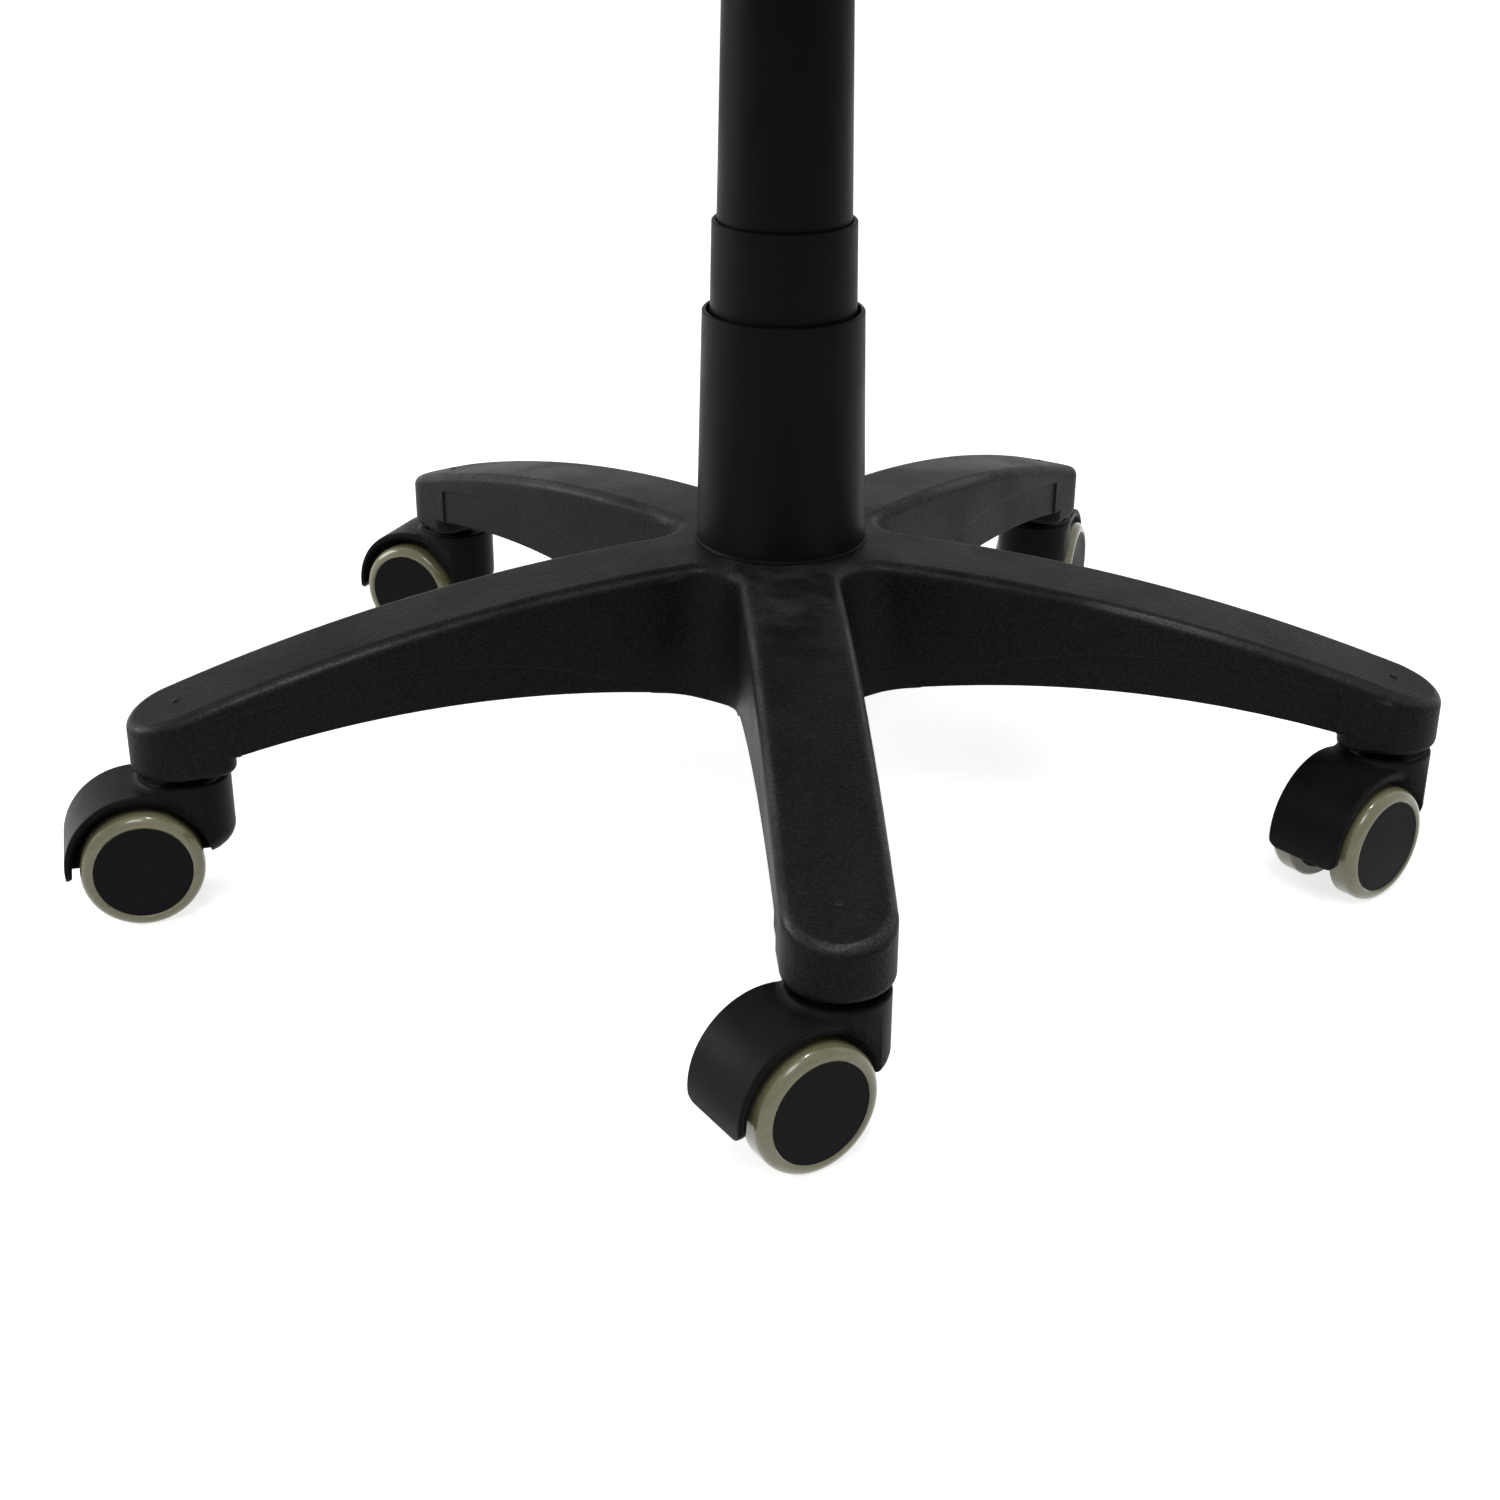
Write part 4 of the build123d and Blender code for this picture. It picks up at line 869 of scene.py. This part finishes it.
    @staticmethod
    def _place(spot: Spot) -> Matrix:
        """Where a caster stands.

        Args:
            spot: Which caster.

        Returns:
            What takes a point from the caster's own axes, with the stem along Z and the wheels
            towards +X, to the frame's.
        """
        stem = joint_place(f"{spot.value}_caster_swivel")
        trail = joint_place(f"{spot.value}_wheel_a_roll") - stem
        turn = Matrix.Rotation(math.atan2(trail.y, trail.x), 4, "Z")
        return Matrix.Translation((stem.x, stem.y, 0)) @ turn

    def _draw_tail(self, shape: bmesh.types.BMesh) -> None:
        """Draws the lower edge of the tail down along the fender's curve, to a thin lip.

        Args:
            shape: The hood under construction.
        """
        for vert in shape.verts:
            if abs(vert.co.z - self.tail_foot) > self.level or vert.co.x < self.tail_start:
                continue
            out = math.hypot(vert.co.x - self.fender_axle, vert.co.z - self.fender_height)
            share = min(max(1 - (self.fender_radius - out) / self.fender_wall, 0.0), 1.0)
            vert.co.z -= self.tail_drop * share
            below = self.fender_height - vert.co.z
            vert.co.x = self.fender_axle + math.sqrt(out ** 2 - below ** 2)

    def _cutter(self) -> bmesh.types.BMesh:
        """Shapes what is cut off a hood.

        Returns:
            The cutter's mesh in a caster's own axes.
        """
        shape = bmesh.new()
        self._foot_cut(shape)
        for side in (-1, 1):
            self._tail_cut(shape, side)
        return shape

    def _foot_cut(self, shape: bmesh.types.BMesh) -> None:
        """Adds the part ring round the cup's foot, on the side away from the wheels.

        Args:
            shape: The cutter under construction.
        """
        middle = self.cup_radius - self.foot_round
        top = self.cup_foot + self.foot_round
        reach = self.foot_round + self.foot_clear
        outline = [
            (middle + reach * math.cos(turn), top - reach * math.sin(turn))
            for turn in quarter_turn(self.foot_steps)
        ]
        low = self.cup_foot - self.margin
        outline += [(middle, low), (self.foot_reach, low), (self.foot_reach, top)]
        start = Matrix.Rotation(math.pi - self.foot_sweep / 2, 4, "Z")
        face = shape.faces.new(
            [shape.verts.new(start @ Vector((radius, 0, height))) for radius, height in outline]
        )
        bmesh.ops.spin(
            shape,
            geom=[face, *face.edges, *face.verts],
            axis=UP,
            cent=(0, 0, 0),
            angle=self.foot_sweep,
            steps=self.sweep_steps,
            use_merge=False,
        )

    def _tail_cut(self, shape: bmesh.types.BMesh, side: int) -> None:
        """Adds the block that leaves one lower corner of the tail round.

        Args:
            shape: The cutter under construction.
            side: 1 or -1.
        """
        inner = self.tail_half - self.tail_round
        lowest = self.tail_foot - self.tail_drop
        middle = lowest + self.tail_round
        outline = [
            (inner + self.tail_round * math.sin(turn), middle - self.tail_round * math.cos(turn))
            for turn in quarter_turn(self.tail_steps)
        ]
        outer, low = self.tail_half + self.margin, lowest - self.margin
        outline += [(outer, middle), (outer, low), (inner, low)]
        start = self.tail_start
        corners = [shape.verts.new((start, side * across, up)) for across, up in outline]
        face = shape.faces.new(corners)
        drawn = bmesh.ops.extrude_face_region(shape, geom=[face])
        moved = [part for part in drawn["geom"] if isinstance(part, bmesh.types.BMVert)]
        bmesh.ops.translate(shape, verts=moved, vec=(self.tail_run, 0, 0))


@dataclass
class Column:
    """The telescopic cover and the lift inside it."""

    cover: MouldedFinish = MouldedFinish(
        name="cover_plastic",
        colour=(0.0034, 0.0034, 0.0036),
        light_colour=(0.0056, 0.0056, 0.0058),
        worn_colour=(0.06, 0.06, 0.06),
        roughness=0.42,
        gloss=0.045,
        grain_scale=2600.0,
        grain_depth=0.02 * MM,
        soft_edge=0.5 * MM,
        edge_width=1.25 * MM,
        edge_amount=0.12,
        dust_amount=0.05,
        scuff_amount=0.05,
    )
    coat: MouldedFinish = MouldedFinish(
        name="black_powder_coat",
        colour=(0.012, 0.012, 0.013),
        light_colour=(0.016, 0.016, 0.017),
        worn_colour=(0.25, 0.25, 0.25),
        roughness=0.36,
        gloss=0.4,
        grain_scale=480.0,
        grain_depth=0.04 * MM,
        cells=0.2,
        soft_edge=0.5 * MM,
        edge_width=1.25 * MM,
        edge_amount=0.25,
        dust_amount=0.08,
        scuff_amount=0.15,
    )
    guide: MouldedFinish = MouldedFinish(
        name="guide_plastic",
        colour=(0.05, 0.05, 0.055),
        light_colour=(0.07, 0.07, 0.075),
        worn_colour=(0.2, 0.2, 0.2),
        roughness=0.45,
        gloss=0.4,
        grain_scale=1800.0,
        grain_depth=0.02 * MM,
    )
    rubber: MouldedFinish = MouldedFinish(
        name="black_rubber",
        colour=(0.012, 0.012, 0.012),
        light_colour=(0.018, 0.018, 0.018),
        worn_colour=(0.09, 0.09, 0.09),
        roughness=0.75,
        gloss=0.3,
        grain_scale=1500.0,
        grain_depth=0.04 * MM,
    )
    chrome: MetalFinish = MetalFinish(
        name="rod_chrome",
        colour=(0.72, 0.72, 0.73),
        tarnish=(0.64, 0.64, 0.65),
        roughness=0.12,
        brushing=Vector((200.0, 200.0, 2500.0)),
        depth=0.003 * MM,
    )

    def build(self, effects: SharedEffects, steel: Material) -> Material:
        """Finishes the column.

        Args:
            effects: The shared shader groups.
            steel: The plated steel.

        Returns:
            The powder coat, which the seat's plate shares.
        """
        coat = self.coat.material(effects)
        by_finish = {
            self.cover.material(effects): ("cover_bottom", "cover_middle", "cover_top"),
            coat: ("column_tube", "gas_cylinder"),
            self.guide.material(effects): ("guide_bush", "bearing_cage", "rod_gland", "piston"),
            self.rubber.material(effects): ("bump_stop", "piston_seal"),
            self.chrome.material(effects): ("piston_rod",),
            steel: ("bearing_race_lower", "bearing_race_upper", "bearing_balls")
            + ("retaining_clip", "clip_washer", "release_pin"),
        }
        for material, nodes in by_finish.items():
            for node in nodes:
                dress(node, material)
        return coat


@dataclass
class Seat:
    """The padded seat with its board, plate and lever."""

    merge: float = 0.01 * MM
    voxel: float = 4 * MM
    pressure: float = 4.0
    frames: int = 20
    inset: float = 3 * MM
    inset_rise: float = 20 * MM
    most_swell: float = 6 * MM
    held_band: float = 6 * MM
    seam_drop: float = 22 * MM
    seam_depth: float = 2.5 * MM
    seam_width: float = 9 * MM
    seam_facing: float = 0.5
    welt_radius: float = 2.4 * MM
    welt_steps: int = 144
    stitch_count: int = 200
    stitch_length: float = 3.6 * MM
    stitch_radius: float = 0.5 * MM
    stitch_drop: float = 6 * MM
    leather: LeatherFinish = LeatherFinish(
        name="upholstery",
        colour=(0.0085, 0.0085, 0.0092),
        # Painted shade in the grain's valleys.
        valley_shade_colour=(0.0040, 0.0040, 0.0045),
        roughness=0.44,
        gloss=0.14,
        cell=1.6 * MM,
        depth=0.18 * MM,
    )
    board: PlywoodFinish = PlywoodFinish(
        name="plywood", pale=(0.52, 0.37, 0.21), dark=(0.36, 0.23, 0.115), layer=1.5 * MM
    )
    grip: MouldedFinish = MouldedFinish(
        name="grip_plastic",
        colour=(0.009, 0.009, 0.010),
        light_colour=(0.013, 0.013, 0.014),
        worn_colour=(0.09, 0.09, 0.09),
        roughness=0.4,
        gloss=0.35,
        grain_scale=1500.0,
        grain_depth=0.05 * MM,
    )
    thread: MouldedFinish = MouldedFinish(
        name="seam_thread",
        colour=(0.02, 0.02, 0.021),
        light_colour=(0.03, 0.03, 0.031),
        worn_colour=(0.08, 0.08, 0.08),
        roughness=0.6,
        gloss=0.3,
        grain_scale=3000.0,
        grain_depth=0.03 * MM,
        soft_edge=0.1 * MM,
        edge_width=0.25 * MM,
    )

    def build(self, effects: SharedEffects, steel: Material, coat: Material) -> None:
        """Finishes the seat and makes its cushion.

        Args:
            effects: The shared shader groups.
            steel: The plated steel.
            coat: The black powder coat.
        """
        for node in ("seat_plate", "taper_socket", "lever_rod"):
            dress(node, coat)
        for node in ("seat_bolts", "tee_nuts", "lever_pivot_pin"):
            dress(node, steel)
        dress("seat_board", self.board.material(effects))
        dress("lever_grip", self.grip.material(effects))
        leather = self.leather.material(effects)
        dress("seat_cushion", leather)
        cushion = self.cushion(leather)
        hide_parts("seat_cushion")
        seam_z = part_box("seat_cushion")[1].z - self.seam_drop
        surface = BVHTree.FromObject(cushion, bpy.context.evaluated_depsgraph_get())
        welt = self.welt(surface, seam_z, leather)
        thread = self.thread.material(effects)
        stitches = self.stitches(surface, seam_z - self.stitch_drop, thread)
        for piece in (cushion, welt, stitches):
            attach(piece, "lift")

    def cushion(self, leather: Material) -> Piece:
        """Stuffs the cushion: a slightly smaller copy of its solid, remeshed and blown up as cloth.

        Args:
            leather: Its finish.

        Returns:
            The cushion.
        """
        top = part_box("seat_cushion")[1]
        board_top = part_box("seat_board")[1].z
        shape = bmesh.new()
        shape.from_mesh(frame["nodes"]["seat_cushion"].data)
        bmesh.ops.remove_doubles(shape, verts=shape.verts, dist=self.merge)
        for vert in shape.verts:
            share = (vert.co.z - board_top - self.held_band) / self.inset_rise
            share = min(max(share, 0.0), 1.0)
            vert.co.x *= 1 - share * self.inset / top.x
            vert.co.y *= 1 - share * self.inset / top.x
            vert.co.z -= share * self.inset
        made = new_piece("stuffed_cushion", shape, leather)
        self._remesh(made)
        self._inflate(made, board_top)
        self._draw_in(made, top.z - self.seam_drop)
        smooth = made.modifiers.new("round_off", "SUBSURF")
        smooth.levels = 1
        smooth.render_levels = 1
        return made

    def _draw_in(self, piece: Piece, seam_z: float) -> None:
        """Pulls the cover in along the seam between its top panel and its side.

        Args:
            piece: The cushion.
            seam_z: The seam's height.
        """
        for vert in piece.data.vertices:
            away = abs(vert.co.z - seam_z) / self.seam_width
            if away < 1 and vert.normal.xy.length > self.seam_facing:
                pull = self.seam_depth * (1 - away ** 2) ** 2
                vert.co.xy -= vert.co.xy.normalized() * pull

    @staticmethod
    def _girth(surface: BVHTree, height: float, angle: float) -> float:
        """Measures how far out the cushion's side stands.

        Args:
            surface: The cushion's finished surface.
            height: Where it is measured.
            angle: Direction from the seat's middle, in radians.

        Returns:
            The radius there.
        """
        outward = Vector((math.cos(angle), math.sin(angle), 0))
        hit = surface.ray_cast(outward + Vector((0, 0, height)), -outward)[0]
        return hit.xy.length

    def welt(self, surface: BVHTree, height: float, leather: Material) -> Piece:
        """Makes the piping sewn into the seam.

        Args:
            surface: The cushion's finished surface.
            height: The seam's height.
            leather: The cushion's finish.

        Returns:
            The welt.
        """
        start = self._girth(surface, height, 0.0)
        shape = bmesh.new()
        upright = Matrix.Translation((start, 0, height)) @ Matrix.Rotation(math.pi / 2, 4, "X")
        bmesh.ops.create_circle(shape, segments=12, radius=self.welt_radius, matrix=upright)
        bmesh.ops.spin(
            shape,
            geom=shape.verts[:] + shape.edges[:],
            axis=UP,
            cent=(0, 0, 0),
            angle=2 * math.pi,
            steps=self.welt_steps,
            use_merge=True,
        )
        for vert in shape.verts:
            girth = self._girth(surface, height, math.atan2(vert.co.y, vert.co.x))
            vert.co.xy += vert.co.xy.normalized() * (girth - start)
        return new_piece("seat_welt", shape, leather)

    def stitches(self, surface: BVHTree, height: float, thread: Material) -> Piece:
        """Sews the row of stitches under the welt.

        Args:
            surface: The cushion's finished surface.
            height: The row's height.
            thread: The thread's finish.

        Returns:
            All the stitches in one piece.
        """
        shape = bmesh.new()
        stretch = Matrix.Diagonal((1, self.stitch_length / (2 * self.stitch_radius), 1, 1))
        for number in range(self.stitch_count):
            angle = 2 * math.pi * number / self.stitch_count
            girth = self._girth(surface, height, angle)
            place = Matrix.Rotation(angle, 4, "Z") @ Matrix.Translation((girth, 0, height))
            bmesh.ops.create_uvsphere(
                shape, u_segments=6, v_segments=4, radius=self.stitch_radius, matrix=place @ stretch
            )
        return new_piece("seat_stitches", shape, thread)

    def _remesh(self, piece: Piece) -> None:
        """Gives the cushion an even mesh.

        Args:
            piece: The cushion.
        """
        even = piece.modifiers.new("even", "REMESH")
        even.mode = "VOXEL"
        even.voxel_size = self.voxel
        even.use_smooth_shade = True
        settle(piece)

    def _inflate(self, piece: Piece, held_z: float) -> None:
        """Blows the cushion up as cloth and caps how far each point goes.

        Args:
            piece: The cushion.
            held_z: Height up to which the underside stays on the board.
        """
        held = piece.vertex_groups.new(name="on_board")
        band = held_z + self.held_band
        low = [vert.index for vert in piece.data.vertices if vert.co.z < band]
        held.add(low, 1.0, "REPLACE")
        start = [vert.co.copy() for vert in piece.data.vertices]
        cloth = piece.modifiers.new("stuffing", "CLOTH")
        cloth.settings.use_pressure = True
        cloth.settings.uniform_pressure_force = self.pressure
        cloth.settings.vertex_group_mass = held.name
        cloth.settings.effector_weights.gravity = 0.0
        cloth.point_cache.frame_end = self.frames
        scene = bpy.context.scene
        for number in range(1, self.frames + 1):
            scene.frame_set(number)
        settle(piece)
        for vert, old in zip(piece.data.vertices, start):
            move = vert.co - old
            if move.length > self.most_swell:
                vert.co = old + move.normalized() * self.most_swell
        scene.frame_set(1)


@dataclass(frozen=True)
class Lamp:
    """A square soft lamp."""

    name: str
    power: float
    size: float
    place: Triple

    def hang(self, target: Vector) -> None:
        """Hangs the lamp up.

        Args:
            target: What it points at.
        """
        light = bpy.data.lights.new(self.name, "AREA")
        light.energy = self.power
        light.size = self.size
        made = bpy.data.objects.new(self.name, light)
        made.location = self.place
        made.rotation_euler = (target - made.location).to_track_quat("-Z", "Y").to_euler()
        bpy.context.scene.collection.objects.link(made)


@dataclass
class Studio:
    """Pale floor, soft lamps, white surround and the camera."""

    floor_size: float = 40.0
    floor_colour: Colour = (0.80, 0.80, 0.80)
    floor_glow: float = 0.75
    floor_roughness: float = 0.9
    fill: float = 0.30
    target: Triple = (0.0, 0.0, 0.12)
    lamps: tuple[Lamp, ...] = (
        Lamp("front_lamp", power=14.0, size=0.8, place=(-0.2, -1.35, 1.95)),
        Lamp("overhead_lamp", power=9.0, size=0.22, place=(0.3, -0.3, 2.0)),
        Lamp("left_lamp", power=17.0, size=0.9, place=(-1.8, 0.4, 0.7)),
        Lamp("right_lamp", power=0.7, size=0.9, place=(1.8, 0.2, 1.3)),
    )
    camera_place: Triple = (-0.0766, -0.9320, 0.46374)
    camera_heading: float = math.radians(-3.921)
    camera_pitch: float = 0.439858
    camera_roll: float = 0.0075985
    focal_length: float = 54.197
    sensor: float = 36.0

    def build(self) -> None:
        """Sets the studio up."""
        bpy.context.scene.view_settings.view_transform = "Standard"
        self._surround()
        self._floor()
        for lamp in self.lamps:
            lamp.hang(Vector(self.target))
        self._camera()

    def _surround(self) -> None:
        """White to the camera and in reflections, a modest fill light otherwise."""
        world = bpy.data.worlds.new("white_surround")
        world.use_nodes = True
        bpy.context.scene.world = world
        wires = Wiring(world.node_tree)
        back = world.node_tree.nodes["Background"]
        back.inputs["Color"].default_value = (1, 1, 1, 1)
        seen = self._seen(wires)
        strength = wires.node("MapRange", {0: seen, 3: self.fill, 4: 1.0})
        wires.feed(back.inputs["Strength"], strength.outputs[0])

    @staticmethod
    def _seen(wires: Wiring) -> Socket:
        """Whether the camera sees a surface, straight or in a reflection or through glass.

        Args:
            wires: The wiring of the world's or floor's tree.

        Returns:
            A socket that is 1 where that is so.
        """
        path = wires.node("LightPath")
        glossy, through = path.outputs["Is Glossy Ray"], path.outputs["Is Transmission Ray"]
        mirrored = wires.math("MAXIMUM", glossy, through)
        return wires.math("MAXIMUM", path.outputs["Is Camera Ray"], mirrored)

    def _floor(self) -> None:
        """A plain pale floor that shows white with the stool's soft shadow on it."""
        plain = {"Base Color": (*self.floor_colour, 1), "Emission Color": (1, 1, 1, 1)}
        plain |= {"Roughness": self.floor_roughness, "Specular IOR Level": 0.0}
        made, wires, shader = start_material("pale_floor", plain)
        seen = self._seen(wires)
        glow = wires.math("MULTIPLY", seen, self.floor_glow)
        wires.feed(shader.inputs["Emission Strength"], glow)
        shape = bmesh.new()
        bmesh.ops.create_grid(shape, x_segments=1, y_segments=1, size=self.floor_size / 2)
        new_piece("floor", shape, made, smooth=False)

    def _camera(self) -> None:
        """Puts the camera where the photograph was taken from."""
        lens = bpy.data.cameras.new("photo_camera")
        lens.sensor_width = self.sensor
        lens.lens = self.focal_length
        made = bpy.data.objects.new("photo_camera", lens)
        heading = Matrix.Rotation(self.camera_heading, 4, "Z")
        pitch = Matrix.Rotation(math.pi / 2 - self.camera_pitch, 4, "X")
        roll = Matrix.Rotation(self.camera_roll, 4, "Z")
        made.matrix_world = Matrix.Translation(self.camera_place) @ heading @ pitch @ roll
        bpy.context.scene.collection.objects.link(made)
        bpy.context.scene.camera = made


def main() -> None:
    """Builds the looks of the stool in order."""
    logging.basicConfig(level=logging.INFO, format="%(name)s: %(message)s")
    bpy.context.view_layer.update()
    effects = SharedEffects()
    StarBase().build(effects)
    steel = Casters().build(effects)
    coat = Column().build(effects, steel)
    Seat().build(effects, steel, coat)
    Studio().build()


if __name__ == "__main__":
    main()
